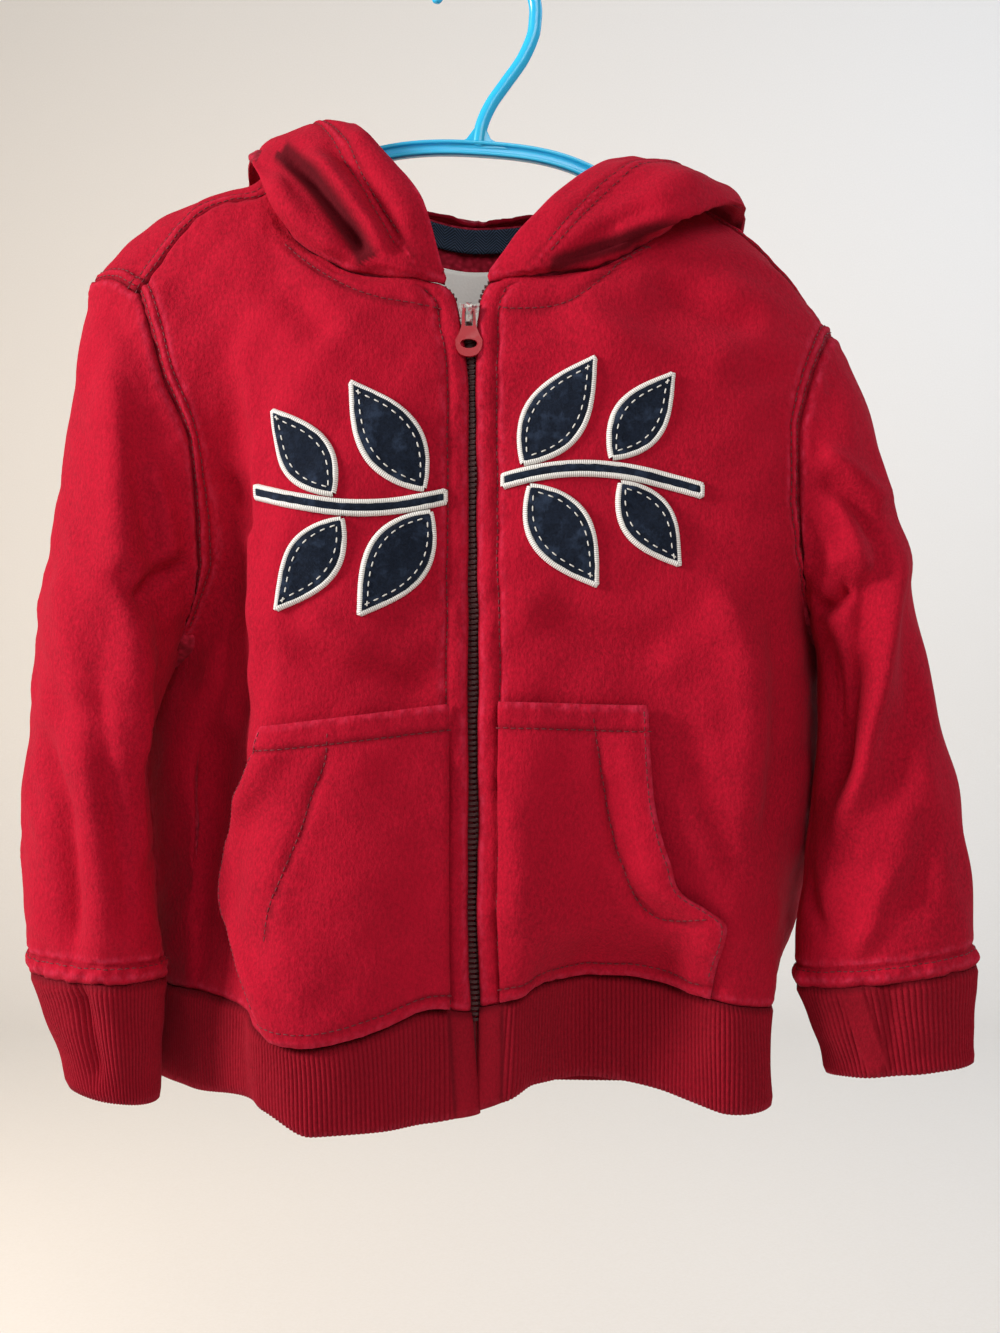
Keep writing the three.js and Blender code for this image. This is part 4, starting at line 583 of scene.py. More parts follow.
def cut_size(points, closed=False):
    """Flat width, length and area of a smooth grid, in metres."""
    wide = np.linalg.norm(np.diff(points, axis=1), axis=2).sum(1)
    if closed:
        wide = wide + np.linalg.norm(points[:, 0] - points[:, -1], axis=1)
    tall = np.linalg.norm(np.diff(points, axis=0), axis=2).sum(0)
    ring = np.concatenate([points, points[:, :1]], 1) if closed else points
    a = ring[1:, :-1] - ring[:-1, :-1]
    b = ring[:-1, 1:] - ring[:-1, :-1]
    area = np.linalg.norm(np.cross(a, b), axis=2).sum()
    width, length = max(float(wide.max()) * MM, 0.01), max(float(tall.max()) * MM, 0.01)
    return (round(width, 4), round(length, 4)), round(min(float(area) * 1e-6, width * length), 6)


def shell(name, points, normals, relief, *, closed=False, flip=False, slot="fleece", node=None,
          thickness=CLOTH,
          materials=None, wear_and_shade=None, rest="hanger", held="hung", body_relief=None):
    """A piece of cloth with its outside relief and an inside a thickness behind it, which takes body_relief
    when given and else the same relief; its flat size, area and rest are kept in COVER.
    """
    outer = points + normals * relief[..., None]
    inner_relief = relief if body_relief is None else body_relief
    inner = points + normals * (inner_relief - thickness)[..., None]
    rows, columns = points.shape[:2]
    faces = shell_faces(rows, columns, closed)
    which = np.concatenate([np.full(len(f), k) for f, k in zip(faces, (0, 1, 0))])
    faces = np.concatenate(faces)
    if flip:
        faces = faces[:, ::-1]
    if wear_and_shade is not None:
        wear_and_shade = np.concatenate([wear_and_shade.ravel(), wear_and_shade.ravel() * 0.3])
    piece = make_mesh(name, np.stack([outer, inner]), faces, materials or [FLEECE, LOOPS], which, wear_and_shade)
    settle(piece, slot, *([node] if node else []))
    flat, area = cut_size(points, closed)
    facts = dict(flat=flat, area=area, held=held, rests_on=[rest])
    COVER[name] = {"piece": piece, "outer": outer, "normals": normals, "base": points, "relief": relief,
                   "closed": closed, "sheet": facts, "trim": []}
    return piece


def bilinear(values, rows, columns):
    r = np.clip(np.floor(rows).astype(int), 0, values.shape[0] - 2)
    c = np.clip(np.floor(columns).astype(int), 0, values.shape[1] - 2)
    s, t = (rows - r)[:, None], (columns - c)[:, None]
    return ((values[r, c] * (1 - t) + values[r, c + 1] * t) * (1 - s)
            + (values[r + 1, c] * (1 - t) + values[r + 1, c + 1] * t) * s)


def on_cloth(name, path, count=120, facing=-1):
    """A line drawn in the photograph, laid on a piece of cloth: points and normals."""
    cover = COVER[name]
    points, normals = cover["outer"], cover["normals"]
    line = rounded(path, count)
    flat = photo_place(points)
    hidden = facing * normals[..., 1] < -0.05
    far = ((flat[None] - line[:, None, None]) ** 2).sum(-1) + hidden * 1e7
    r, c = np.divmod(far.reshape(count, -1).argmin(1), points.shape[1])
    r, c = r.astype(float), c.astype(float)
    for _ in range(3):
        r = np.clip(r, 0.01, points.shape[0] - 1.01)
        c = np.clip(c, 0.01, points.shape[1] - 1.01)
        here = bilinear(flat, r, c)
        dr = (bilinear(flat, r + 0.005, c) - here) / 0.005
        dc = (bilinear(flat, r, c + 0.005) - here) / 0.005
        det = dc[:, 0] * dr[:, 1] - dr[:, 0] * dc[:, 1]
        det = np.where(np.abs(det) < 1e-3, 1e-3, det)
        gap = line - here
        c = c + np.clip((gap[:, 0] * dr[:, 1] - gap[:, 1] * dr[:, 0]) / det, -1, 1)
        r = r + np.clip((dc[:, 0] * gap[:, 1] - dc[:, 1] * gap[:, 0]) / det, -1, 1)
    r, c = np.clip(r, 0, points.shape[0] - 1), np.clip(c, 0, points.shape[1] - 1)
    return bilinear(points, r, c), unit(bilinear(normals, r, c))


def inset(name, edge, distance, first=0.0, last=1.0):
    """A line over the cloth at a distance from one edge of its grid."""
    cover = COVER[name]
    points, normals = cover["outer"], cover["normals"]
    away = from_edge(cover["base"], edge)
    if edge in ("bottom", "top"):
        points, normals, away = points.swapaxes(0, 1), normals.swapaxes(0, 1), away.T
    n = points.shape[0]
    lines = range(int(first * (n - 1)), int(last * (n - 1)) + 1)
    spots = []
    for i in lines:
        order = np.arange(points.shape[1])
        key = away[i] if edge in ("left", "bottom") else away[i][::-1]
        place = np.interp(distance, key, order)
        spots.append((i, place if edge in ("left", "bottom") else points.shape[1] - 1 - place))
    r = np.array([s[0] for s in spots], float)
    c = np.array([s[1] for s in spots], float)
    return bilinear(points, r, c), unit(bilinear(normals, r, c))


def resampled(points, normals, step):
    length = np.concatenate([[0], np.cumsum(np.linalg.norm(np.diff(points, axis=0), axis=1))])
    count = max(2, int(length[-1] / step))
    values = np.linspace(0, length[-1], count)
    def pick(a):
        return np.stack([np.interp(values, length, a[:, k]) for k in range(3)], -1)
    return pick(points), unit(pick(normals)), values


class Thread:
    """Stitches gathered into one piece."""

    def __init__(self):
        self.points, self.faces, self.count = [], [], 0

    def row(self, points, normals, length=2.5, pitch=3.1, wide=0.6, tall=0.45, lift=0.05):
        centres, ups, _ = resampled(points, normals, pitch)
        ways = unit(np.gradient(centres, axis=0))
        sides = unit(np.cross(ups, ways))
        sides_n = 5
        ring = np.arange(sides_n) * 2 * math.pi / sides_n
        template = [(-0.5, 0, 0)]
        for along, scale in ((-0.34, 1.0), (0.34, 1.0)):
            template += [(along, scale * math.cos(a), scale * math.sin(a)) for a in ring]
        template.append((0.5, 0, 0))
        t = np.array(template)
        wobble = RANDOM.normal(0, 0.05, len(centres))[:, None, None]
        body = (centres[:, None] + ways[:, None] * (t[None, :, :1] * length)
                + sides[:, None] * (t[None, :, 1:2] * wide / 2 + wobble)
                + ups[:, None] * (t[None, :, 2:] * tall / 2 + lift + 0.1 * (0.5 - np.abs(t[None, :, :1]))))
        faces = []
        last = 2 * sides_n + 1
        for k in range(sides_n):
            n = (k + 1) % sides_n
            faces += [(0, 1 + n, 1 + k), (1 + k, 1 + n, 1 + sides_n + n, 1 + sides_n + k),
                      (last, 1 + sides_n + k, 1 + sides_n + n)]
        for i in range(len(centres)):
            base = self.count + i * len(t)
            self.faces += [tuple(base + v for v in face) for face in faces]
        self.points.append(body.reshape(-1, 3))
        self.count += len(centres) * len(t)

    def sew(self, name, material, slot, owner=None):
        piece = make_mesh(name, np.concatenate(self.points), self.faces, [material])
        settle(piece, slot)
        if owner:
            COVER[owner]["trim"].append(piece)
        return piece


def ribbon(points, normals, half_width, height, base=0.0, closed=False, across=6, step=0.8):
    """A half-round cord of thread laid along a line: points, faces and thread places."""
    centres, ups, arc = resampled(points, normals, step)
    if closed:
        ways = unit(np.roll(centres, -1, 0) - np.roll(centres, 1, 0))
    else:
        ways = unit(np.gradient(centres, axis=0))
    sides = unit(np.cross(ups, ways))
    angles = np.linspace(0, math.pi, across + 1)
    body = (centres[:, None] + sides[:, None] * (np.cos(angles) * half_width)[None, :, None]
            + ups[:, None] * (base + np.sin(angles) * height)[None, :, None])
    n = len(centres)
    i, k = np.meshgrid(np.arange(n if closed else n - 1), np.arange(across), indexing="ij")
    width = across + 1
    j = (i + 1) % n
    faces = np.stack([i * width + k, i * width + k + 1, j * width + k + 1, j * width + k], -1)
    faces = faces.reshape(-1, 4)
    uv = np.stack(np.broadcast_arrays(arc[:, None], np.cos(angles)[None] * half_width), -1).reshape(-1, 2)
    return body.reshape(-1, 3), faces, uv


def joined(parts):
    """Several point, face and thread-place sets as one."""
    points, faces, uvs, count = [], [], [], 0
    for p, f, uv in parts:
        points.append(p)
        faces.append(np.asarray(f) + count)
        uvs.append(uv)
        count += len(p)
    return np.concatenate(points), np.concatenate(faces), np.concatenate(uvs)


# Materials

def paint(code):
    """An sRGB hex colour as linear red, green, blue and alpha."""
    parts = [int(code[i:i + 2], 16) / 255 for i in (1, 3, 5)]
    return tuple(c / 12.92 if c <= 0.04045 else ((c + 0.055) / 1.055) ** 2.4 for c in parts) + (1.0,)


def add(tree, kind, inputs=(), **settings):
    """A node with its settings; each input is a value or the output that feeds it."""
    item = tree.nodes.new("ShaderNode" + kind)
    for name, value in settings.items():
        setattr(item, name, value)
    for name, value in dict(inputs).items():
        if isinstance(value, bpy.types.NodeSocket):
            tree.links.new(value, item.inputs[name])
        else:
            item.inputs[name].default_value = value
    return item


def new_material(name):
    material = bpy.data.materials.new(name)
    material.use_nodes = True
    tree = material.node_tree
    tree.nodes.clear()
    shader = add(tree, "BsdfPrincipled")
    add(tree, "OutputMaterial", {"Surface": shader.outputs[0]})
    return material, tree, shader


def set_shader(tree, shader, **values):
    for name, value in values.items():
        socket = shader.inputs[name.replace("_", " ")]
        if isinstance(value, bpy.types.NodeSocket):
            tree.links.new(value, socket)
        else:
            socket.default_value = value


def brushed_fleece(name, deep, bright, worn, crease_shade, pile=1.5):
    """Cotton-blend sweatshirt fleece, brushed and washed: matt, with a short fuzzy pile that greys
    the colour where it is worn at edges and seams, and painted shade that darkens it in seams,
    stitch lines, rib grooves and creases. The pile is drawn 1.5 mm coarse so that it shows."""
    material, tree, shader = new_material(name)
    place = add(tree, "TexCoord").outputs["Object"]
    grain = add(tree, "Mapping", {0: place, "Scale": (1.25, 1.25, 0.8)}).outputs[0]
    broad = add(tree, "TexNoise", {"Vector": place, "Scale": 16.0, "Detail": 4.0, "Roughness": 0.62})
    fuzz = add(tree, "TexNoise", {"Vector": grain, "Scale": 1000.0 / pile, "Detail": 3.0, "Roughness": 0.7})
    speck = add(tree, "TexNoise", {"Vector": grain, "Scale": 1000.0 / 3.4, "Detail": 2.0, "Roughness": 0.5})
    tone = add(tree, "ValToRGB", {0: fuzz.outputs[0]})
    tone.color_ramp.elements[0].position, tone.color_ramp.elements[1].position = 0.3, 0.72
    tone.color_ramp.elements[0].color, tone.color_ramp.elements[1].color = paint(deep), paint(bright)
    patch = add(tree, "MapRange", {0: broad.outputs[0], 1: 0.35, 2: 0.7, 3: 0.0, 4: 0.45}).outputs[0]
    base = add(tree, "Mix", {0: patch, 6: tone.outputs[0], 7: paint(bright)}, data_type="RGBA").outputs[2]
    # The attribute is above zero where the cloth is worn and below zero where shade is painted in.
    mark_level = add(tree, "Attribute", attribute_name="wear_and_shade").outputs["Fac"]
    rough = add(tree, "MapRange", {0: speck.outputs[0], 1: 0.4, 2: 0.68, 3: 0.15, 4: 1.0}).outputs[0]
    amount = add(tree, "Math", {0: mark_level, 1: rough}, operation="MULTIPLY", use_clamp=True).outputs[0]
    nap = add(tree, "Mix", {0: amount, 6: base, 7: paint(worn)}, data_type="RGBA").outputs[2]
    # Painted shade: where the attribute is below zero, the colour goes towards the dark crease colour.
    painted_shade_amount = add(tree, "MapRange", {0: mark_level, 1: 0.0, 2: -1.0, 3: 0.0, 4: 0.85}).outputs[0]
    colour = add(tree, "Mix", {0: painted_shade_amount, 6: nap, 7: paint(crease_shade)}, data_type="RGBA").outputs[2]
    height = add(tree, "Math", {0: fuzz.outputs[0], 1: speck.outputs[0]}, operation="ADD").outputs[0]
    bump = add(tree, "Bump", {"Strength": 0.6, "Distance": 0.0008, "Height": height}).outputs[0]
    set_shader(tree, shader, Base_Color=colour, Roughness=0.92, Normal=bump, Sheen_Weight=0.12,
               Sheen_Roughness=0.4, Sheen_Tint=paint("#E0506A"), Specular_IOR_Level=0.15)
    return material


def looped_back(name, deep, bright):
    """The unbrushed inside of the sweatshirt knit: small terry loops, about 2 mm apart, matt."""
    material, tree, shader = new_material(name)
    place = add(tree, "TexCoord").outputs["Object"]
    loops = add(tree, "TexVoronoi", {"Vector": place, "Scale": 1000.0 / 2.6}, feature="SMOOTH_F1")
    tone = add(tree, "ValToRGB", {0: loops.outputs[0]})
    tone.color_ramp.elements[0].position, tone.color_ramp.elements[1].position = 0.15, 0.75
    tone.color_ramp.elements[0].color, tone.color_ramp.elements[1].color = paint(bright), paint(deep)
    bump = add(tree, "Bump", {"Strength": 0.8, "Distance": 0.0012, "Height": loops.outputs[0]}, invert=True)
    set_shader(tree, shader, Base_Color=tone.outputs[0], Roughness=0.95, Normal=bump.outputs[0],
               Sheen_Weight=0.2, Sheen_Roughness=0.5, Sheen_Tint=paint("#D86A78"), Specular_IOR_Level=0.2)
    return material


def spun_thread(name, colour, shade, pitch=0.9):
    """Embroidery or sewing thread with a soft gleam; the strands across a border are drawn 0.9 mm
    apart, coarser than the real ones, so that they show."""
    material, tree, shader = new_material(name)
    place = add(tree, "UVMap", uv_map="thread").outputs[0]
    strands = add(tree, "TexWave", {"Vector": place, "Scale": math.pi / 10 / pitch, "Distortion": 0.5,
                                    "Detail": 1.0}, bands_direction="X")
    tone = add(tree, "ValToRGB", {0: strands.outputs["Fac"]})
    tone.color_ramp.elements[0].color, tone.color_ramp.elements[1].color = paint(shade), paint(colour)
    tone.color_ramp.elements[1].position = 0.6
    bump = add(tree, "Bump", {"Strength": 0.5, "Distance": 0.0004, "Height": strands.outputs["Fac"]})
    set_shader(tree, shader, Base_Color=tone.outputs[0], Roughness=0.55, Normal=bump.outputs[0],
               Sheen_Weight=0.2, Specular_IOR_Level=0.35)
    return material


def pressed_felt(name, deep, bright, worn):
    """Wool-blend felt, pilled in use: matt, with matted fibres and pale rubbed patches."""
    material, tree, shader = new_material(name)
    place = add(tree, "TexCoord").outputs["Object"]
    fibre = add(tree, "TexNoise", {"Vector": place, "Scale": 1000.0 / 2.2, "Detail": 5.0, "Roughness": 0.75,
                                   "Distortion": 1.2})
    pills = add(tree, "TexNoise", {"Vector": place, "Scale": 1000.0 / 7.0, "Detail": 3.0, "Roughness": 0.6})
    tone = add(tree, "ValToRGB", {0: fibre.outputs[0]})
    tone.color_ramp.elements[0].position, tone.color_ramp.elements[1].position = 0.35, 0.7
    tone.color_ramp.elements[0].color, tone.color_ramp.elements[1].color = paint(deep), paint(bright)
    patch = add(tree, "MapRange", {0: pills.outputs[0], 1: 0.52, 2: 0.7, 3: 0.0, 4: 0.55}).outputs[0]
    colour = add(tree, "Mix", {0: patch, 6: tone.outputs[0], 7: paint(worn)}, data_type="RGBA").outputs[2]
    height = add(tree, "Math", {0: fibre.outputs[0], 1: pills.outputs[0]}, operation="ADD").outputs[0]
    bump = add(tree, "Bump", {"Strength": 0.6, "Distance": 0.0011, "Height": height})
    set_shader(tree, shader, Base_Color=colour, Roughness=0.95, Normal=bump.outputs[0], Sheen_Weight=0.3,
               Sheen_Roughness=0.5, Sheen_Tint=paint("#8A93A6"), Specular_IOR_Level=0.15)
    return material


def herringbone_twill(name, deep, bright, thread=1.5, column=5.0):
    """Cotton twill tape: slanting ribs that turn at every column, matt; 1.5 mm ribs, 5 mm columns."""
    material, tree, shader = new_material(name)
    place = add(tree, "UVMap", uv_map="thread").outputs[0]
    split = add(tree, "SeparateXYZ", {0: place})
    folded = add(tree, "Math", {0: split.outputs[0], 1: column}, operation="PINGPONG").outputs[0]
    slanted = add(tree, "Math", {0: split.outputs[1], 1: folded}, operation="ADD").outputs[0]
    turns = add(tree, "Math", {0: slanted, 1: 2 * math.pi / thread}, operation="MULTIPLY").outputs[0]
    wave = add(tree, "Math", {0: turns}, operation="SINE").outputs[0]
    tone = add(tree, "ValToRGB", {0: wave})
    tone.color_ramp.elements[0].color, tone.color_ramp.elements[1].color = paint(deep), paint(bright)
    bump = add(tree, "Bump", {"Strength": 0.5, "Distance": 0.0005, "Height": wave})
    set_shader(tree, shader, Base_Color=tone.outputs[0], Roughness=0.85, Normal=bump.outputs[0],
               Specular_IOR_Level=0.25)
    return material


def moulded_plastic(name, colour, deep):
    """Injection-moulded polystyrene, glossy, slightly translucent, with faint flow marks."""
    material, tree, shader = new_material(name)
    place = add(tree, "TexCoord").outputs["Object"]
    flow = add(tree, "TexNoise", {"Vector": place, "Scale": 40.0, "Detail": 2.0})
    tone = add(tree, "Mix", {0: flow.outputs[0], 6: paint(colour), 7: paint(deep)},
               data_type="RGBA").outputs[2]
    bump = add(tree, "Bump", {"Strength": 0.08, "Distance": 0.001, "Height": flow.outputs[0]})
    set_shader(tree, shader, Base_Color=tone, Roughness=0.22, Normal=bump.outputs[0], IOR=1.59,
               Subsurface_Weight=0.15, Subsurface_Radius=(0.002, 0.004, 0.006), Subsurface_Scale=1.0)
    return material


def worn_enamel(name, colour, bare, lost=0.0):
    """Enamelled zinc slider, the paint rubbed to metal on its edges and high places."""
    material, tree, shader = new_material(name)
    place = add(tree, "TexCoord").outputs["Object"]
    chips = add(tree, "TexNoise", {"Vector": place, "Scale": 600.0, "Detail": 3.0})
    edge = add(tree, "NewGeometry").outputs["Pointiness"]
    sharp = add(tree, "MapRange", {0: edge, 1: 0.59, 2: 0.7, 3: 0.0, 4: 1.6}).outputs[0]
    mark_level = add(tree, "Math", {0: sharp, 1: chips.outputs[0]}, operation="MULTIPLY").outputs[0]
    patches = add(tree, "MapRange",
                  {0: chips.outputs[0], 1: 0.75 - lost, 2: 0.85 - lost, 3: 0.0, 4: 1.0}).outputs[0]
    loss = add(tree, "Math", {0: mark_level, 1: patches}, operation="ADD", use_clamp=True).outputs[0]
    colour_mix = add(tree, "Mix", {0: loss, 6: paint(colour), 7: paint(bare)}, data_type="RGBA").outputs[2]
    bump = add(tree, "Bump", {"Strength": 0.15, "Distance": 0.0002, "Height": chips.outputs[0]})
    set_shader(tree, shader, Base_Color=colour_mix, Metallic=loss, Roughness=0.32, Normal=bump.outputs[0])
    return material


def plain_finish(name, colour, shade, size, roughness, relief=0.3, depth=0.0003, **more):
    """A plain surface with a fine uneven grain of the size given in millimetres."""
    material, tree, shader = new_material(name)
    place = add(tree, "TexCoord").outputs["Object"]
    grain = add(tree, "TexNoise", {"Vector": place, "Scale": 1000.0 / size, "Detail": 3.0})
    tone = add(tree, "Mix", {0: grain.outputs[0], 6: paint(shade), 7: paint(colour)},
               data_type="RGBA").outputs[2]
    bump = add(tree, "Bump", {"Strength": relief, "Distance": depth, "Height": grain.outputs[0]})
    set_shader(tree, shader, Base_Color=tone, Roughness=roughness, Normal=bump.outputs[0], **more)
    return material


# The last colour of each fleece is painted shade, laid in seams, stitch lines, rib grooves and creases; the
# one before it is the worn colour.
FLEECE = brushed_fleece("brushed fleece, red", "#86061E", "#B80C2B", "#D63A5A", "#46030E")
RIBBING = brushed_fleece("rib knit, red", "#760718", "#960C22", "#B43046", "#3C030C", pile=1.2)
LOOPS = looped_back("looped back of the fleece", "#6A0616", "#B4203A")
FELT_NAVY = pressed_felt("pressed felt, navy", "#0A111E", "#1A2436", "#34425A")
SATIN_WHITE = spun_thread("satin stitch, white", "#F3F1EE", "#B4B1AF")
THREAD_WHITE = plain_finish("cotton thread, white", "#EDEBE6", "#BFBBB4", 0.8, 0.7)
THREAD_RED = plain_finish("polyester thread, red", "#7E0A1E", "#500414", 0.9, 0.6)
TWILL_NAVY = herringbone_twill("herringbone tape, slate", "#1D2836", "#40506A")
LABEL_WHITE = plain_finish("woven satin label, white", "#FBFAF8", "#ECEAE7", 1.2, 0.45)
ZIP_TAPE = plain_finish("woven zip tape, dark red", "#7A0A1A", "#4C0510", 0.9, 0.85)
TEETH = plain_finish("moulded nylon teeth, maroon", "#4A1116", "#2A070B", 1.5, 0.45)
ENAMEL = worn_enamel("worn enamel on zinc, red", "#A00B20", "#C9C5C2", lost=-0.2)
BARE_ZINC = worn_enamel("zinc with traces of enamel", "#9A4450", "#C4C0BD", lost=0.35)
PLASTIC = moulded_plastic("moulded plastic, sky blue", "#35C2F0", "#1AAEE6")


# Body panels

def back_net():
    lower = []
    for right, middle, left in BACK_LOWER:
        right, left = np.array(right, float), np.array(left, float)
        row = []
        for share in BACK_SHARES:
            p = right + (left - right) * share
            bow = 1 - (2 * share - 1) ** 4
            p[1] += (middle[0] - p[1]) * bow
            p[2] += (middle[1] - p[2]) * bow
            row.append(p)
        lower.append(row)
    return np.concatenate([np.array(lower), np.array(BACK_UPPER, float)])


front_right_net = np.array(FRONT_RIGHT, float)
front_left_net = np.array(FRONT_LEFT, float)
whole_back_net = back_net()
TORSO_KNOTS = mean_knots(np.stack([front_right_net[:, -1], front_left_net[:, -1],
                                   whole_back_net[:, 0], whole_back_net[:, -1]]))
back = Cloth(whole_back_net, TORSO_KNOTS)


def seated_on_shoulder(net, neck_column, arm_column):
    columns = np.linspace(neck_column, arm_column, net.shape[1])
    net = net.copy()
    net[-1] = back.at(columns, np.full(len(columns), back.rows))
    return net


front_right = Cloth(seated_on_shoulder(front_right_net, 2, 0), TORSO_KNOTS)
front_left = Cloth(seated_on_shoulder(front_left_net, 8, 10), TORSO_KNOTS)

below = fine_places(TORSO_KNOTS, HEM_ROW, UNDERARM_ROW, 2.7, edges=(True, False))
above = fine_places(TORSO_KNOTS, UNDERARM_ROW, back.rows, 2.3, edges=(False, True))
TORSO_ROWS = np.concatenate([below[:-1], above])
UNDERARM = len(below) - 1


def swelled(points):
    """The cloth under the arms swells out behind the sleeves."""
    x, z = points[..., 0], points[..., 2]
    right = smooth_step((-138 - x) / 12) * np.exp(-((z + 346) / 34) ** 2)
    left = smooth_step((x - 136) / 12) * np.exp(-((z + 362) / 50) ** 2)
    hollow = np.exp(-((x + 132) / 16) ** 2) * smooth_step((-330 - z) / 60) * smooth_step((z + 500) / 60)
    hollow = hollow * smooth_step(-points[..., 1] / 10)
    return points + np.stack([8 * left - 10 * right, 4 * left + 5 * right + 9 * hollow, 0 * x], -1)


def torso_panel(cloth, flip):
    columns = fine_places(cloth.column_knots, 0, cloth.columns, 2.5)
    points = swelled(cloth.grid(columns, TORSO_ROWS))
    return {"points": points, "normals": grid_normals(points, flip=flip), "columns": columns}


torso = {"right": torso_panel(front_right, True), "left": torso_panel(front_left, False),
         "back": torso_panel(back, True)}


def share_shoulder(front, neck_column, arm_column):
    """The normals along a shoulder seam become the mean of both panels' normals."""
    share_front = front["columns"] / front["columns"][-1]
    share_back = (torso["back"]["columns"] - neck_column) / (arm_column - neck_column)
    ours, theirs = front["normals"][-1].copy(), torso["back"]["normals"][-1].copy()
    order = np.argsort(share_back)
    for k in range(3):
        front["normals"][-1, :, k] += np.interp(share_front, share_back[order], theirs[order, k])
    on = (share_back >= 0) & (share_back <= 1)
    for k in range(3):
        torso["back"]["normals"][-1, on, k] += np.interp(share_back[on], share_front, ours[:, k])
    front["normals"][-1] = unit(front["normals"][-1])
    torso["back"]["normals"][-1] = unit(torso["back"]["normals"][-1])


share_shoulder(torso["right"], 2, 0)
share_shoulder(torso["left"], 8, 10)


# Sleeves

def armhole_loop(front, edge):
    up = front["points"][UNDERARM:, -1]
    down = torso["back"]["points"][UNDERARM + 1:-1, edge][::-1]
    return np.concatenate([up, down])


def ring_points(ring, angles):
    outer, inner, swell_front, swell_back, lean = ring
    outer, inner = np.array(outer, float), np.array(inner, float)
    centre, reach = (outer + inner) / 2, (outer - inner) / 2
    swell = np.sin(angles)
    points = centre + reach * np.cos(angles)[:, None]
    points[:, 1] -= swell * np.where(swell > 0, swell_front, swell_back)
    points[:, 0] -= swell * lean * np.sign(reach[0])
    return points


def sleeve_tube(loop, rings, flip):
    length = np.linalg.norm(np.roll(loop, -1, 0) - loop, axis=1)
    angles = math.pi * (1 - 2 * np.concatenate([[0], np.cumsum(length)[:-1]]) / length.sum())
    net = np.array([loop] + [ring_points(ring, angles) for ring in rings])
    knots = mean_knots(net.swapaxes(0, 1))
    rows = fine_places(knots, 0, len(rings), 2.8)
    points = np.array([through(net, knots, np.full(len(loop), v)) for v in knot_at(knots, rows)])
    return {"points": points, "normals": grid_normals(points, closed=True, flip=flip), "angles": angles}


sleeves = {"right": sleeve_tube(armhole_loop(torso["right"], 0), SLEEVE_RIGHT, False),
           "left": sleeve_tube(armhole_loop(torso["left"], -1), SLEEVE_LEFT, True)}


def share_rims(grids):
    """Where rims meet, all take the mean of their normals."""
    sums = {}
    spots = []
    for grid in grids:
        points, normals = grid["points"], grid["normals"]
        rows, columns = points.shape[:2]
        closed = "angles" in grid
        rim = [(0, c) for c in range(columns)] + [(rows - 1, c) for c in range(columns)]
        if not closed:
            rim += [(r, c) for r in range(1, rows - 1) for c in (0, columns - 1)]
        for r, c in rim:
            key = tuple(np.floor(points[r, c] / 0.2 + 0.37).astype(int))
            sums[key] = sums.get(key, 0) + normals[r, c]
            spots.append((normals, r, c, key))
    for normals, r, c, key in spots:
        normals[r, c] = unit(sums[key])


share_rims([torso["right"], torso["left"], torso["back"], sleeves["right"], sleeves["left"]])


# Relief of the body panels

def worn_edges(*distances, amount=0.8, reach=1.6):
    total = 0
    for away, line in distances:
        total = np.maximum(total, amount * np.exp(-((away - line) / reach) ** 2))
    return total


def painted_shade_lines(*distances, amount=0.6, reach=0.9):
    """Painted shade along stitch lines and seams, where the cloth is pressed in: the colour is darkened
    there.
    """
    total = 0
    for away, line in distances:
        total = np.maximum(total, amount * np.exp(-((away - line) / reach) ** 2))
    return -total


def drawn_band(points, middle, half, edge):
    """How near points are to a line of the photograph, as 1 inside the half width and 0 past the edge."""
    off, _, share, _ = beside(photo_place(points).reshape(-1, 2), rounded(middle, 30))
    inside = smooth_step((half + edge - off * PIXEL) / edge) * ((share > 0.001) & (share < 0.999))
    return inside.reshape(points.shape[:-1])


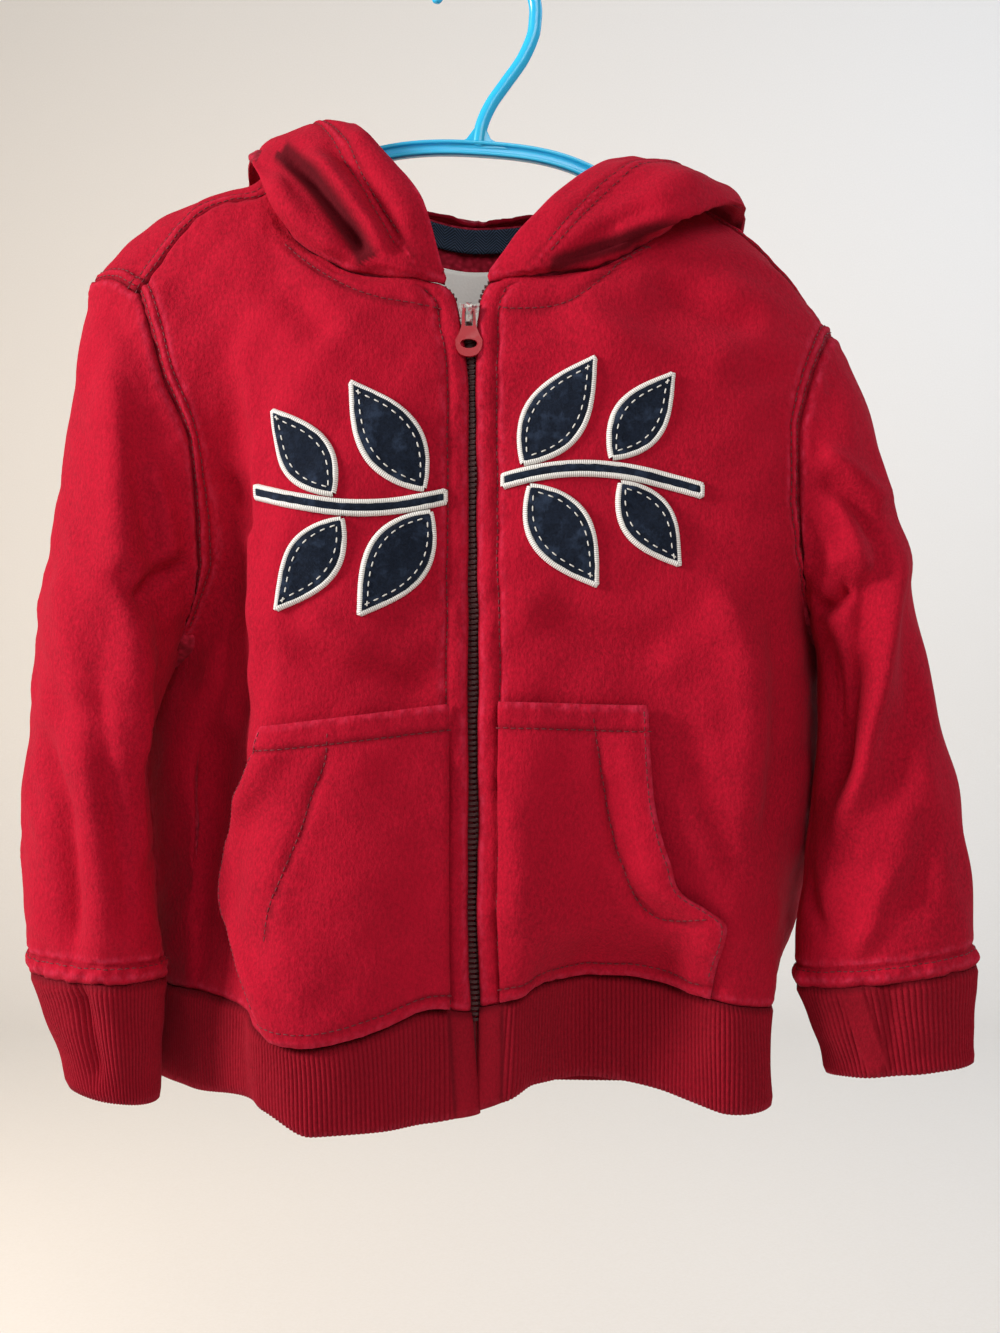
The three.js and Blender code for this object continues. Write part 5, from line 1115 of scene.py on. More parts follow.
def front_relief(points, normals, folds, band, seed):
    rows = len(points)
    side = from_edge(points, "right")
    zip_side = from_edge(points, "left")
    top = from_edge(points, "top")
    bottom = from_edge(points, "bottom")
    armhole = np.arange(rows)[:, None] >= UNDERARM
    below_neck = TORSO_ROWS[:, None] <= NECK_ROW
    relief = (1.5 * folds_over(points, normals, folds) + 1.6 * waves(points, 60, seed)
              + 0.8 * waves(points, 24, seed + 1))
    relief *= calm(side, top, bottom)
    relief += np.where(armhole, seam(side, points, SEAM_STITCHES, SEAM_STITCHES[1], 0.5, seed + 2),
                       seam(side, points, (), 0, 0.4, seed))
    relief += seam(top, points, (), 0, 0.3, seed + 3) * smooth_step(zip_side / 22)
    relief += seam(bottom, points, (), 0, 0.35, seed + 4)
    edge_fold = 1.5 * np.clip(1 - ((zip_side - 4.4) / 5.0) ** 2, 0, 1) - 0.7 * np.exp(-(zip_side / 1.0) ** 2)
    edge_fold -= 1.1 * np.exp(-((zip_side - ZIP_STITCH) / 1.1) ** 2)
    edge_fold += 0.5 * waves(points, 8.0, seed + 5) * np.exp(-((zip_side - 8) / 6) ** 2)
    relief += np.where(below_neck, edge_fold, 0)
    swell, stitch = band
    seen = smooth_step(-normals[..., 1] * 4)
    neck_band = folds_over(points, normals, [(swell, 1.3, 6.5), (stitch, -1.3, 1.5)])
    relief += neck_band + 0.7 * waves(points, 7.0, seed + 7) * drawn_band(points, swell, 5, 5) * seen
    wear_and_shade = worn_edges((side, 4.0), (side, 8.2), (bottom, 2.0), amount=0.4)
    wear_and_shade = np.maximum(wear_and_shade,
                      np.where(below_neck, worn_edges((zip_side, 2.0), (zip_side, 11.0), amount=0.4), 0))
    # Painted shade in the side, zip and hem seams and their stitch lines.
    wear_and_shade = wear_and_shade + np.where(armhole, painted_shade_lines((side, 0.3), *((side, line) for line in SEAM_STITCHES)),
                           painted_shade_lines((side, 0)))
    wear_and_shade = (wear_and_shade + np.where(below_neck, painted_shade_lines((zip_side, -0.3), (zip_side, ZIP_STITCH)), 0)
            + painted_shade_lines((bottom, 0)))
    # Painted shade along the stitch line under the neck band.
    wear_and_shade = wear_and_shade - 0.5 * drawn_band(points, stitch, 0.5, 1.6) * seen
    return relief, wear_and_shade


for key, name, band, flip, seed in (
        ("right", "front_right", (NECK_SWELL_RIGHT, NECK_BAND_RIGHT), True, 11),
        ("left", "front_left", (NECK_SWELL_LEFT, NECK_BAND_LEFT), False, 23)):
    panel = torso[key]
    relief, wear_and_shade = front_relief(panel["points"], panel["normals"], FOLDS_FRONT, band, seed)
    panel["relief"] = relief
    shell(name + "_panel", panel["points"], panel["normals"], relief, flip=flip, node=name, wear_and_shade=wear_and_shade)

# The back panel has the same kinds of soft folds, hanging from the shoulders
FOLDS_BACK = [
    ([(-120, -190), (-112, -260), (-108, -340)], 1.8, 9),
    ([(-70, -220), (-66, -300), (-72, -400)], -1.4, 10),
    ([(118, -200), (112, -280), (108, -350)], 1.8, 9), ([(60, -240), (62, -330), (66, -420)], -1.3, 10),
    ([(-130, -300), (-90, -340), (-40, -360)], 1.3, 8), ([(136, -300), (90, -345), (40, -365)], 1.3, 8),
    ([(-20, -380), (-14, -430), (-18, -470)], 1.2, 8), ([(30, -390), (34, -440), (30, -472)], -1.0, 7),
]


def flat_folds(points, folds):
    """Folds drawn on the back in millimetres across and up."""
    flat = points[..., [0, 2]].reshape(-1, 2)
    total = np.zeros(len(flat))
    for path, height, width in folds:
        off, _, share, _ = beside(flat, rounded(path, 24))
        total += (height * np.exp(-(off / width) ** 2) * smooth_step(share / 0.25)
                  * smooth_step((1 - share) / 0.25))
    return total.reshape(points.shape[:-1])


panel = torso["back"]
points, normals = panel["points"], panel["normals"]
left_edge, right_edge = from_edge(points, "left"), from_edge(points, "right")
top, bottom = from_edge(points, "top"), from_edge(points, "bottom")
armhole = np.arange(len(points))[:, None] >= UNDERARM
shoulder = (panel["columns"] < 2) | (panel["columns"] > 8)
relief = 2.2 * flat_folds(points, FOLDS_BACK) * smooth_step(normals[..., 1] * 2) + 1.6 * waves(points, 60, 31)
relief = (relief + 0.8 * waves(points, 24, 32)) * calm(left_edge, right_edge, top, bottom)
relief += seam(bottom, points, (), 0, 0.35, 33)
for edge in (left_edge, right_edge):
    relief += np.where(armhole, seam(edge, points, SEAM_STITCHES, SEAM_STITCHES[1], 0.45, 34),
                       seam(edge, points, (), 0, 0.4, 35))
relief += np.where(shoulder, seam(top, points, SEAM_STITCHES, SEAM_STITCHES[1], 0.35, 36),
                   seam(top, points, (1.9,), 0, 0.3, 37))
wear_and_shade = worn_edges((left_edge, 4), (right_edge, 4), (top, 4), (bottom, 2), amount=0.4)
# Painted shade in the seams and their stitch lines.
for edge in (left_edge, right_edge):
    wear_and_shade = wear_and_shade + np.where(armhole, painted_shade_lines((edge, 0.3), (edge, 1.9), (edge, 6.2)), painted_shade_lines((edge, 0)))
wear_and_shade = wear_and_shade + np.where(shoulder, painted_shade_lines((top, 0.3), (top, 1.9), (top, 6.2)), painted_shade_lines((top, 1.9)))
shell("back_panel", points, normals, relief, flip=True, node="back", wear_and_shade=wear_and_shade)


# Sleeves and their folds; the hidden sides carry folds like those that show

FOLDS_SLEEVE_BACK = {
    "right": [([(110, 330), (118, 450), (130, 600)], 1.6, 8), ([(70, 560), (84, 700), (96, 860)], -1.6, 6),
              ([(140, 560), (120, 620), (96, 660)], 1.8, 5), ([(150, 600), (132, 650), (110, 700)], -1.8, 4)],
    "left": [([(880, 420), (890, 520), (890, 640)], 1.6, 8), ([(920, 600), (910, 720), (900, 860)], -1.6, 6),
             ([(840, 560), (870, 610), (905, 640)], 1.8, 5), ([(830, 600), (855, 660), (890, 700)], -1.8, 4)],
}
for key, name, folds, flip, seed in (("right", "sleeve_right", FOLDS_SLEEVE_RIGHT, False, 41),
                                     ("left", "sleeve_left", FOLDS_SLEEVE_LEFT, True, 51)):
    tube = sleeves[key]
    points, normals = tube["points"], tube["normals"]
    head, cuff = from_edge(points, "bottom"), from_edge(points, "top")
    relief = (folds_over(points, normals, folds)
              + folds_over(points, normals, FOLDS_SLEEVE_BACK[key], facing=1))
    relief = 1.6 * relief + 1.4 * waves(points, 48, seed) + 0.8 * waves(points, 20, seed + 1)
    relief *= calm(head, cuff)
    relief += seam(head, points, (), 0, 0.5, seed + 2) + seam(cuff, points, (), 0, 0.8, seed + 3)
    relief += 0.9 * np.exp(-((head - 4) / 3) ** 2)
    relief += 1.2 * np.exp(-((cuff - 4.5) / 3.5) ** 2) - 1.0 * np.exp(-((cuff - 9) / 1.3) ** 2)
    relief += 0.7 * waves(points, 8, seed + 4) * np.exp(-((cuff - 6) / 6) ** 2)
    under = np.exp(-(np.abs(np.abs(tube["angles"]) - math.pi) * 12 / 0.8) ** 2)[None, :]
    relief -= 0.9 * under
    wear_and_shade = worn_edges((head, 2.5), (cuff, 3.5), (cuff, 11), amount=0.45)
    # Painted shade in the head and cuff seams and in the groove above the cuff.
    wear_and_shade = wear_and_shade + painted_shade_lines((head, 0), (cuff, 0), (cuff, 9))
    shell(name + "_tube", points, normals, relief, closed=True, flip=flip, node=name, wear_and_shade=wear_and_shade)


# Hood

def hood_net(rows, front):
    net = []
    for (kind, place), line in rows:
        line = np.array(line, float)
        neck = (back.at([place], [back.rows]) if kind == "back" else front.at([0], [place]))[0]
        net.append(np.concatenate([[neck + unit(line[0] - neck) * 0.5], line]))
    return np.array(net)


for key, name, rows, front, flip, folds, seed in (
        ("right", "hood_right", HOOD_RIGHT, front_right, False, FOLDS_HOOD_RIGHT, 61),
        ("left", "hood_left", HOOD_LEFT, front_left, True, FOLDS_HOOD_LEFT, 71)):
    cloth = Cloth(hood_net(rows, front))
    columns = fine_places(cloth.column_knots, 0, cloth.columns, 2.4, reach=12, edge_step=1.2)
    around = fine_places(cloth.row_knots, 0, cloth.rows, 2.6, reach=10)
    points = cloth.grid(columns, around)
    corner = np.exp(-(np.linalg.norm(photo_place(points) - np.array([243, 149]), axis=-1) / 13) ** 2)
    points = points + np.stack([4.5 * corner, 0 * corner, -2.5 * corner], -1)
    normals = grid_normals(points, flip=flip)
    normals[-1, :, 0] = 0
    normals = unit(normals)
    neck, edge = from_edge(points, "left"), from_edge(points, "right")
    centre = from_edge(points, "top")
    relief = (folds_over(points, normals, folds) + 0.9 * waves(points, 45, seed)
              + 0.5 * waves(points, 20, seed + 1))
    relief += seam(neck, points, (), 0, 0.5, seed + 2) + seam(centre, points, (), 0, 0.25, seed + 3)
    hem = 0.8 * smooth_step((25 - edge) / 2.0) - 1.0 * np.exp(-((edge - HOOD_STITCHES[1]) / 1.3) ** 2)
    hem -= 0.9 * np.exp(-((edge - HOOD_STITCHES[0]) / 1.3) ** 2)
    relief += hem * smooth_step((around[:, None] - 0.5) / 1.5)
    tiny = smooth_step(around / 1.0)[:, None]
    seen = smooth_step(-normals[..., 1] * 3)
    wear_and_shade = worn_edges((neck, 3), (edge, 0.5), (edge, 22), amount=0.35)
    # Painted shade in the neck and centre seams and along the edge's stitch lines.
    wear_and_shade = (wear_and_shade + painted_shade_lines((neck, 0), (centre, 0))
            + 0.8 * painted_shade_lines(*((edge, line) for line in HOOD_STITCHES), reach=1.3))
    # Painted shade in the deepest crease of the folds.
    wear_and_shade = wear_and_shade - 1.1 * drawn_band(points, folds[0][0], 2.5, 5) * seen
    shell(name + "_panel", points, normals, relief * tiny * (1 - corner), flip=flip, node=name, wear_and_shade=wear_and_shade,
          rest="back_panel", thickness=CLOTH)


# Ribbed hem and cuffs

def rib_relief(turns):
    return RIB_HEIGHT * (np.abs(np.cos(math.pi * turns)) ** 0.7 - 0.5)


PER_RIB = 6


def hem_rib():
    parts = []
    for cloth, reverse in ((front_right, False), (back, False), (front_left, True)):
        fine = np.linspace(0, cloth.columns, 400)
        line = cloth.at(fine, np.full(400, HEM_ROW / 2))
        length = np.concatenate([[0], np.cumsum(np.linalg.norm(np.diff(line, axis=0), axis=1))])
        ribs = 2 * round(length[-1] / RIB_PITCH / 2)
        columns = np.interp(np.linspace(0, length[-1], ribs * PER_RIB + 1), length, fine)
        rows = np.linspace(0, HEM_ROW - 0.012, 13)
        grid = cloth.grid(columns, rows)
        if reverse:
            grid = grid[:, ::-1]
        parts.append(grid if not parts else grid[:, 1:])
    points = np.concatenate(parts, 1)
    normals = np.empty_like(points)
    smooth = grid_normals(points)
    kernel = np.ones(4 * PER_RIB + 1) / (4 * PER_RIB + 1)
    for k in range(3):
        for r in range(len(points)):
            normals[r, :, k] = np.convolve(np.pad(smooth[r, :, k], 2 * PER_RIB, mode="edge"), kernel, "valid")
    normals = unit(normals)
    middle = points[0, points.shape[1] // 2] - points[0].mean(0)
    if (normals[0, points.shape[1] // 2] * middle).sum() < 0:
        normals = -normals
    return points, normals


def rib_wear_and_shade(relief, away_bottom):
    # Painted shade in the grooves between the ribs; the crests and the lower edge are paler with wear.
    painted_groove_shade = -0.75 * smooth_step(-relief / RIB_HEIGHT - 0.05)
    return painted_groove_shade + 0.15 * smooth_step(relief / RIB_HEIGHT) + worn_edges((away_bottom, 0.5), amount=0.5)


points, normals = hem_rib()
turns = np.arange(points.shape[1]) / PER_RIB
top, bottom = from_edge(points, "top"), from_edge(points, "bottom")
to_right, to_left = from_edge(points, "left"), from_edge(points, "right")
ends = np.minimum(to_right, to_left)
pinch = 2.4 * np.exp(-(ends / 14) ** 2) * np.linspace(1, 0.2, len(points))[:, None]
points[..., 0] += np.where(to_right < to_left, pinch, -pinch)
ribs = rib_relief(turns)[None] * smooth_step(top / 2.5 + 0.35) * smooth_step((ends - 10.5) / 1.5)
facing = 1.3 * np.clip(1 - ((ends - 5) / 5.6) ** 2, 0, 1) - 0.7 * np.exp(-(ends / 1.0) ** 2)
relief = ribs + facing + 0.9 * waves(points, 34, 81)
relief = relief - 1.2 * np.exp(-(top / 1.2) ** 2) - 0.7 * np.exp(-(bottom / 1.2) ** 2)
outward = (normals[0, 0] * np.cross(points[0, 1] - points[0, 0], points[1, 0] - points[0, 0])).sum() < 0
# The colour carries painted shade in the rib grooves, along the facings' stitch lines and at the top seam,
# and wear on the crests and lower edge.
shell("hem_ribbing", points, normals, relief, flip=outward, node="hem_rib", slot="ribbing",
      materials=[RIBBING, RIBBING], wear_and_shade=rib_wear_and_shade(ribs, bottom) + painted_shade_lines((ends, 10.5), (top, 0)),
      rest="front_right_panel", body_relief=relief)

for name, ring, end, seed in (("cuff_right", SLEEVE_RIGHT[6], CUFF_RIGHT_END, 91),
                              ("cuff_left", SLEEVE_LEFT[6], CUFF_LEFT_END, 95)):
    girth = math.pi * (abs(ring[0][0] - ring[1][0]) + ring[2] + ring[3]) / 2
    ribs = 4 * round(girth / RIB_PITCH / 4 * 0.92)
    angles = np.arange(ribs * PER_RIB) * 2 * math.pi / (ribs * PER_RIB)
    low, high = ring_points(end, angles), ring_points(ring, angles)
    high[:, 2] -= 0.3
    shares = np.linspace(0, 1, 15)[:, None, None]
    waist = 1 - 0.03 * np.sin(math.pi * shares)
    middle = (low + (high - low) * shares)
    heart = middle.mean(1, keepdims=True)
    points = heart + (middle - heart) * waist
    normals = grid_normals(points, closed=True)
    if (normals[7] * (points[7] - heart[7])).sum() < 0:
        normals = -normals
    turns = np.arange(len(angles)) / PER_RIB
    top, bottom = from_edge(points, "top"), from_edge(points, "bottom")
    strip = 0
    folds = FOLDS_CUFF_LEFT if name == "cuff_left" else FOLDS_CUFF_RIGHT
    if name == "cuff_left":
        strip = drawn_band(points, CUFF_SEAM, 4.5, 1.5) * smooth_step(-normals[..., 1] * 4)
    ribs = rib_relief(turns)[None] * smooth_step(top / 2.5 + 0.35) * (1 - strip)
    relief = ribs + 1.3 * strip + 0.9 * waves(points, 26, seed) + folds_over(points, normals, folds)
    relief = relief - 1.2 * np.exp(-(top / 1.2) ** 2) - 0.7 * np.exp(-(bottom / 1.2) ** 2)
    direction = np.cross(points[0, 1] - points[0, 0], points[1, 0] - points[0, 0])
    # The colour carries painted shade in the rib grooves and at the top seam, and wear on the crests and
    # lower edge.
    shell(name + "_ribbing", points, normals, relief, closed=True, flip=(normals[0, 0] * direction).sum() < 0,
          node=name, slot="ribbing", materials=[RIBBING, RIBBING],
          wear_and_shade=rib_wear_and_shade(ribs, bottom) + painted_shade_lines((top, 0)),
          rest="sleeve_" + name[5:] + "_tube", body_relief=relief)


# Pieces laid on the front panels

def panel_relief(side, columns, rows):
    """The relief of a front panel at places of its table."""
    panel = torso[side]
    r = np.interp(rows, TORSO_ROWS, np.arange(len(TORSO_ROWS)))
    c = np.interp(columns, panel["columns"], np.arange(len(panel["columns"])))
    flat = bilinear(panel["relief"][..., None], r.ravel(), c.ravel())
    return flat.reshape(columns.shape)


def laid(side, x, z, height=0.0, follow=1.0):
    """Points x, z laid on a front panel and raised; also their normals."""
    cloth, flip = (front_right, True) if side == "right" else (front_left, False)
    columns, rows = cloth.find(x, z)
    normals = cloth.normal(columns, rows, flip)
    relief = panel_relief(side, columns, rows) * follow
    return cloth.at(columns, rows) + normals * (relief + height)[..., None], normals


def pocket_grid(table, across=44, up=70):
    inner, bunching, rows, top_inner, bottom_inner = table
    rows = np.array(rows, float)
    heights = np.linspace(rows[0, 0], rows[-1, 0], up)
    reach = np.array([through(np.column_stack([rows[:, 1], rows[:, 1] * 0, rows[:, 1] * 0])[:, None],
                              rows[:, 0], np.array([z]))[0, 0] for z in heights])
    share = (heights - heights[0]) / (heights[-1] - heights[0])
    inner_z = bottom_inner + (top_inner - bottom_inner) * share
    steps = np.concatenate([np.linspace(0, 0.12, 8)[:-1], np.linspace(0.12, 0.86, across - 15),
                            np.linspace(0.86, 1, 9)[1:]])
    spread = 1 - (1 - steps) ** bunching
    x = inner + (reach[:, None] - inner) * spread[None]
    z = inner_z[:, None] + (heights - inner_z)[:, None] * spread[None]
    return x, z


def down_to_seam(side, x, z):
    """The lower rows of a pocket drawn down so that they are caught in the hem seam."""
    cloth = front_right if side == "right" else front_left
    line = cloth.at(np.linspace(0, cloth.columns, 200), np.full(200, HEM_ROW))
    order = np.argsort(line[:, 0])
    drop = np.interp(x[0], line[order, 0], line[order, 2]) + 0.6 - z[0]
    rise = (z - z[0]) / (z[-1] - z[0])
    return z + np.minimum(drop, 0) * np.clip(1 - rise * 2.2, 0, 1) ** 1.5


for side, table, flip, stitch, seed in (("right", POCKET_RIGHT, True, POCKET_HEM_RIGHT, 101),
                                        ("left", POCKET_LEFT, False, POCKET_HEM_LEFT, 107)):
    x, z = pocket_grid(table)
    z = down_to_seam(side, x, z)
    base, normals = laid(side, x, z, follow=0.6)
    grid = base + normals * (POCKET_LIFT + CLOTH)
    opening = from_edge(grid, "right")
    top, bottom = from_edge(grid, "top"), from_edge(grid, "bottom")
    relief = 0.8 * waves(grid, 42, seed) + 0.4 * waves(grid, 18, seed + 1)
    relief += (3.4 * np.exp(-(opening / 16) ** 2) * smooth_step((top - 5) / 25)
               * smooth_step((bottom - 12) / 25))
    relief += 1.0 * smooth_step((12.5 - top) / 2.0) - 1.0 * np.exp(-((top - 11.5) / 1.3) ** 2)
    relief -= (0.8 * np.exp(-(top / 1.0) ** 2) + 0.7 * np.exp(-(opening / 1.0) ** 2)
               + 0.8 * np.exp(-(bottom / 1.2) ** 2))
    relief += 0.6 * waves(grid, 8, seed + 2) * (np.exp(-(top / 12) ** 2) + np.exp(-(bottom / 8) ** 2))
    hemmed = smooth_step((top - 12) / 3)
    relief += folds_over(grid, normals, [(stitch, -2.0, 2.4)]) * hemmed
    relief += 2.2 * np.exp(-((opening - 9) / 8) ** 2) * hemmed
    relief -= 0.7 * np.exp(-((bottom - 6) / 1.2) ** 2)
    wear_and_shade = worn_edges((opening, 0.8), (top, 0.8), (bottom, 0.8), amount=0.5)
    # Painted shade along the top and bottom stitch lines and the stitch line of the turned opening.
    wear_and_shade = wear_and_shade + painted_shade_lines((top, 11.5), (bottom, 6)) - 0.6 * drawn_band(grid, stitch, 0.4, 1.3) * hemmed
    shell("pocket_" + side + "_panel", grid, normals, relief, flip=flip, node="pocket_" + side, wear_and_shade=wear_and_shade,
          rest="front_" + side + "_panel")


# Applique of felt leaves with satin-stitch borders and running stitches

def vine_height(x):
    return VINE["z"] + VINE["swing"] * np.sin(math.pi * (x - VINE["middle"]) / VINE["reach"])


def leaf_half_width(t, width):
    return np.maximum(width / 2 * np.sin(math.pi * np.clip(t, 0, 1) ** 0.85), 0.0)


def felt_grid(side, x, z, name, node):
    base, normals = laid(side, x, z)
    rim = np.minimum.reduce([from_edge(base, e) for e in ("left", "right", "top", "bottom")])
    height = LIFT + FELT * (0.45 + 0.55 * smooth_step(rim / 1.6)) + 0.18 * waves(base, 6, 5)
    grid = base + normals * height[..., None]
    outward = (np.cross(grid[1, 2] - grid[1, 1], grid[2, 1] - grid[1, 1]) * normals[1, 1]).sum() < 0
    return shell(name, grid, normals, np.zeros(grid.shape[:2]), flip=outward, thickness=FELT, slot="felt",
                 node=node,
                 materials=[FELT_NAVY, FELT_NAVY], rest="front_" + side + "_panel")


border_parts = {"right": [], "left": []}
running = Thread()


def edge_line(side, x, z, inside=0.0, height=0.0):
    """A closed outline moved inward, laid on the cloth."""
    line = np.column_stack([x, z])
    way = np.roll(line, -1, 0) - np.roll(line, 1, 0)
    way /= np.maximum(np.linalg.norm(way, axis=1, keepdims=True), 1e-6)
    inward = np.column_stack([-way[:, 1], way[:, 0]])
    if ((line.mean(0) - line) * inward).sum() < 0:
        inward = -inward
    line = line + inward * inside
    return laid(side, line[:, 0], line[:, 1], height)


def outline_of(x, z):
    """The outline of a felt grid as one loop of x and z."""
    loop_x = np.concatenate([x[:, 0], x[::-1, -1]])
    loop_z = np.concatenate([z[:, 0], z[::-1, -1]])
    keep = np.concatenate([[True], np.hypot(np.diff(loop_x), np.diff(loop_z)) > 0.05])
    return loop_x[keep], loop_z[keep]


def trim_felt(side, x, z):
    loop_x, loop_z = outline_of(x, z)
    points, normals = edge_line(side, loop_x, loop_z, 0.2, LIFT)
    border_parts[side].append(ribbon(np.concatenate([points, points[:1]]),
                                     np.concatenate([normals, normals[:1]]),
                                     1.45, FELT + 0.55, base=-LIFT * 0.8))


for number, (x0, leaf_side, turn, length, width) in enumerate(LEAVES, 1):
    side = "right" if x0 < 0 else "left"
    along = math.radians(turn)
    t = np.linspace(0.0, 1, 34)[:, None]
    s = np.linspace(-1, 1, 15)[None]
    half = np.maximum(leaf_half_width(t, width), 0.25)
    start_z = vine_height(x0) + leaf_side * VINE["stalk"]
    x = x0 + length * t * math.cos(along) - s * half * math.sin(along)
    z = start_z + length * t * math.sin(along) + s * half * math.cos(along)
    felt_grid(side, x, z, f"felt_leaf_{number}", f"applique_leaf_{number}")
    trim_felt(side, x, z)
    inner_t = np.linspace(0.1, 0.9, 40)
    for sign in (-1, 1):
        inner_half = np.maximum(leaf_half_width(inner_t, width) - 3.6, 0)
        lx = x0 + length * inner_t * math.cos(along) - sign * inner_half * math.sin(along)
        lz = start_z + length * inner_t * math.sin(along) + sign * inner_half * math.cos(along)
        points, normals = laid(side, lx, lz, LIFT + FELT)
        running.row(points, normals, length=2.6, pitch=3.9, wide=0.65, tall=0.6)
for side, (first, last) in zip(("right", "left"), STEMS):
    across = np.linspace(first, last, 60)
    s = np.linspace(-1, 1, 7)[None]
    x = np.repeat(across[:, None], 7, 1)
    z = vine_height(across)[:, None] + s * VINE["width"] / 2
    felt_grid(side, x, z, "felt_stem_" + side, "applique_stem_" + side)
    trim_felt(side, x, z)
for side, parts in border_parts.items():
    points, faces, uv = joined(parts)
    border = make_mesh("satin_border_" + side, points, faces, [SATIN_WHITE], uv=uv)
    settle(border, "felt")
    COVER["felt_stem_" + side]["trim"].append(border)
running.sew("running_stitches", THREAD_WHITE, "felt", "felt_stem_right")


# Sewing thread along the seams

seams = Thread()


def stitch_px(name, path, **more):
    points, normals = on_cloth(name, path, **more)
    seams.row(points, normals)


for name in ("front_right_panel", "front_left_panel"):
    n = len(TORSO_ROWS)
    for distance in SEAM_STITCHES:
        seams.row(*inset(name, "right", distance, UNDERARM / n + 0.01, 0.995))
    neck = np.searchsorted(TORSO_ROWS, NECK_ROW) / n
    seams.row(*inset(name, "left", 9.4, 0.0, neck))
for edge in ("left", "right"):
    for distance in SEAM_STITCHES:
        seams.row(*inset("back_panel", edge, distance, UNDERARM / len(TORSO_ROWS) + 0.01, 0.99))
for distance in SEAM_STITCHES:
    columns = torso["back"]["columns"]
    n = len(columns)
    seams.row(*inset("back_panel", "top", distance, 0.0, np.searchsorted(columns, 1.95) / n))
    seams.row(*inset("back_panel", "top", distance, np.searchsorted(columns, 8.05) / n, 1.0))
for name in ("sleeve_right_tube", "sleeve_left_tube"):
    seams.row(*inset(name, "top", 7.5))
for name in ("hood_right_panel", "hood_left_panel"):
    for distance in (19.5, 24.0):
        seams.row(*inset(name, "right", distance, 0.12, 1.0))
for name in ("pocket_right_panel", "pocket_left_panel"):
    seams.row(*inset(name, "top", 11.5))
    seams.row(*inset(name, "right", 2.0, 0.1, 0.98))
    seams.row(*inset(name, "bottom", 6.0, 0.0, 0.95))
stitch_px("front_right_panel", NECK_BAND_RIGHT)
stitch_px("front_left_panel", NECK_BAND_LEFT)
stitch_px("pocket_right_panel", POCKET_HEM_RIGHT)
stitch_px("pocket_left_panel", POCKET_HEM_LEFT)
seams.sew("topstitching", THREAD_RED, "fleece", "front_right_panel")


# Zip: woven tapes, teeth, and the metal slider with its pull

def zip_centre(rows):
    return (front_right.at(0 * rows, rows)[:, 0] + front_left.at(0 * rows, rows)[:, 0]) / 2


def tape_rows():
    return np.interp(np.linspace(0, TORSO_KNOTS[NECK_ROW], 160), TORSO_KNOTS, np.arange(len(TORSO_KNOTS)))


def parting(z):
    return smooth_step((z - (SLIDER_Z - 7)) / 12)


def tape_lines(cloth, flip, side):
    rows = tape_rows()
    normal = cloth.normal(np.zeros(len(rows)), rows, flip)
    edge = cloth.at(np.zeros(len(rows)), rows)
    behind = edge - normal * (CLOTH + 1.1)
    under_normal = cloth.normal(np.full(len(rows), 0.35), rows, flip)
    under = cloth.at(np.full(len(rows), 0.35), rows) - under_normal * (CLOTH + 1.1)
    middle = behind.copy()
    closed_x = zip_centre(rows) + side * 0.2
    middle[:, 0] = closed_x + (edge[:, 0] + side * 0.6 - closed_x) * parting(edge[:, 2])
    return under, behind, middle


chain_points, chain_faces = [], []
TOOTH = np.array([(x, y, z) for z in (-0.5, 0.5) for x, y in ((-1, -0.5), (1, -0.35), (1, 0.35), (-1, 0.5))])
TOOTH_FACES = [(0, 1, 2, 3), (7, 6, 5, 4), (0, 4, 5, 1), (1, 5, 6, 2), (2, 6, 7, 3), (3, 7, 4, 0)]
for side_name, cloth, flip, side in (("right", front_right, True, -1), ("left", front_left, False, 1)):
    under, behind, middle = tape_lines(cloth, flip, side)
    outer = np.stack([under + (behind - under) * t for t in np.linspace(0, 1, 6)[:-1]]
                     + [behind + (middle - behind) * t for t in np.linspace(0, 1, 5)], 1)
    outer = outer[:, ::-1] if side < 0 else outer
    normals = np.zeros_like(outer)
    normals[..., 1] = -1
    relief = 0.08 * waves(outer, 12, 3)
    ahead = (np.cross(outer[1, 2] - outer[1, 1], outer[2, 1] - outer[1, 1]) * normals[1, 1]).sum() < 0
    shell("zip_tape_" + side_name + "_strip", outer, normals, relief, flip=ahead, slot="zip_tape",
          node="zip_tape_" + side_name, thickness=TAPE_CLOTH, materials=[ZIP_TAPE, ZIP_TAPE],
          rest="front_" + side_name + "_panel")
    line, ups, arc = resampled(middle, np.tile([0.0, -1.0, 0.0], (len(middle), 1)), TOOTH_PITCH)
    for i, p in enumerate(line):
        lift = TOOTH_PITCH / 2 if side > 0 else 0
        centre = p + np.array([side * 0.5, -0.55, lift])
        if abs(centre[2] - SLIDER_Z) < 7 or centre[2] < -487:
            continue
        size = np.array([1.9, 1.7, 1.35])
        box = centre + TOOTH * size * np.array([side, 1, 1])
        base = 8 * len(chain_points)
        chain_points.append(box)
        chain_faces += [tuple(base + v for v in face) for face in TOOTH_FACES]
teeth = make_mesh("zip_teeth", np.concatenate(chain_points), chain_faces, [TEETH])
settle(teeth, "zip_tape")
rounding = teeth.modifiers.new("moulded edges", "BEVEL")
rounding.width, rounding.segments = 0.25 * MM, 2
COVER["zip_tape_right_strip"]["trim"].append(teeth)


# Inside of the back neck: herringbone tape and a blank label

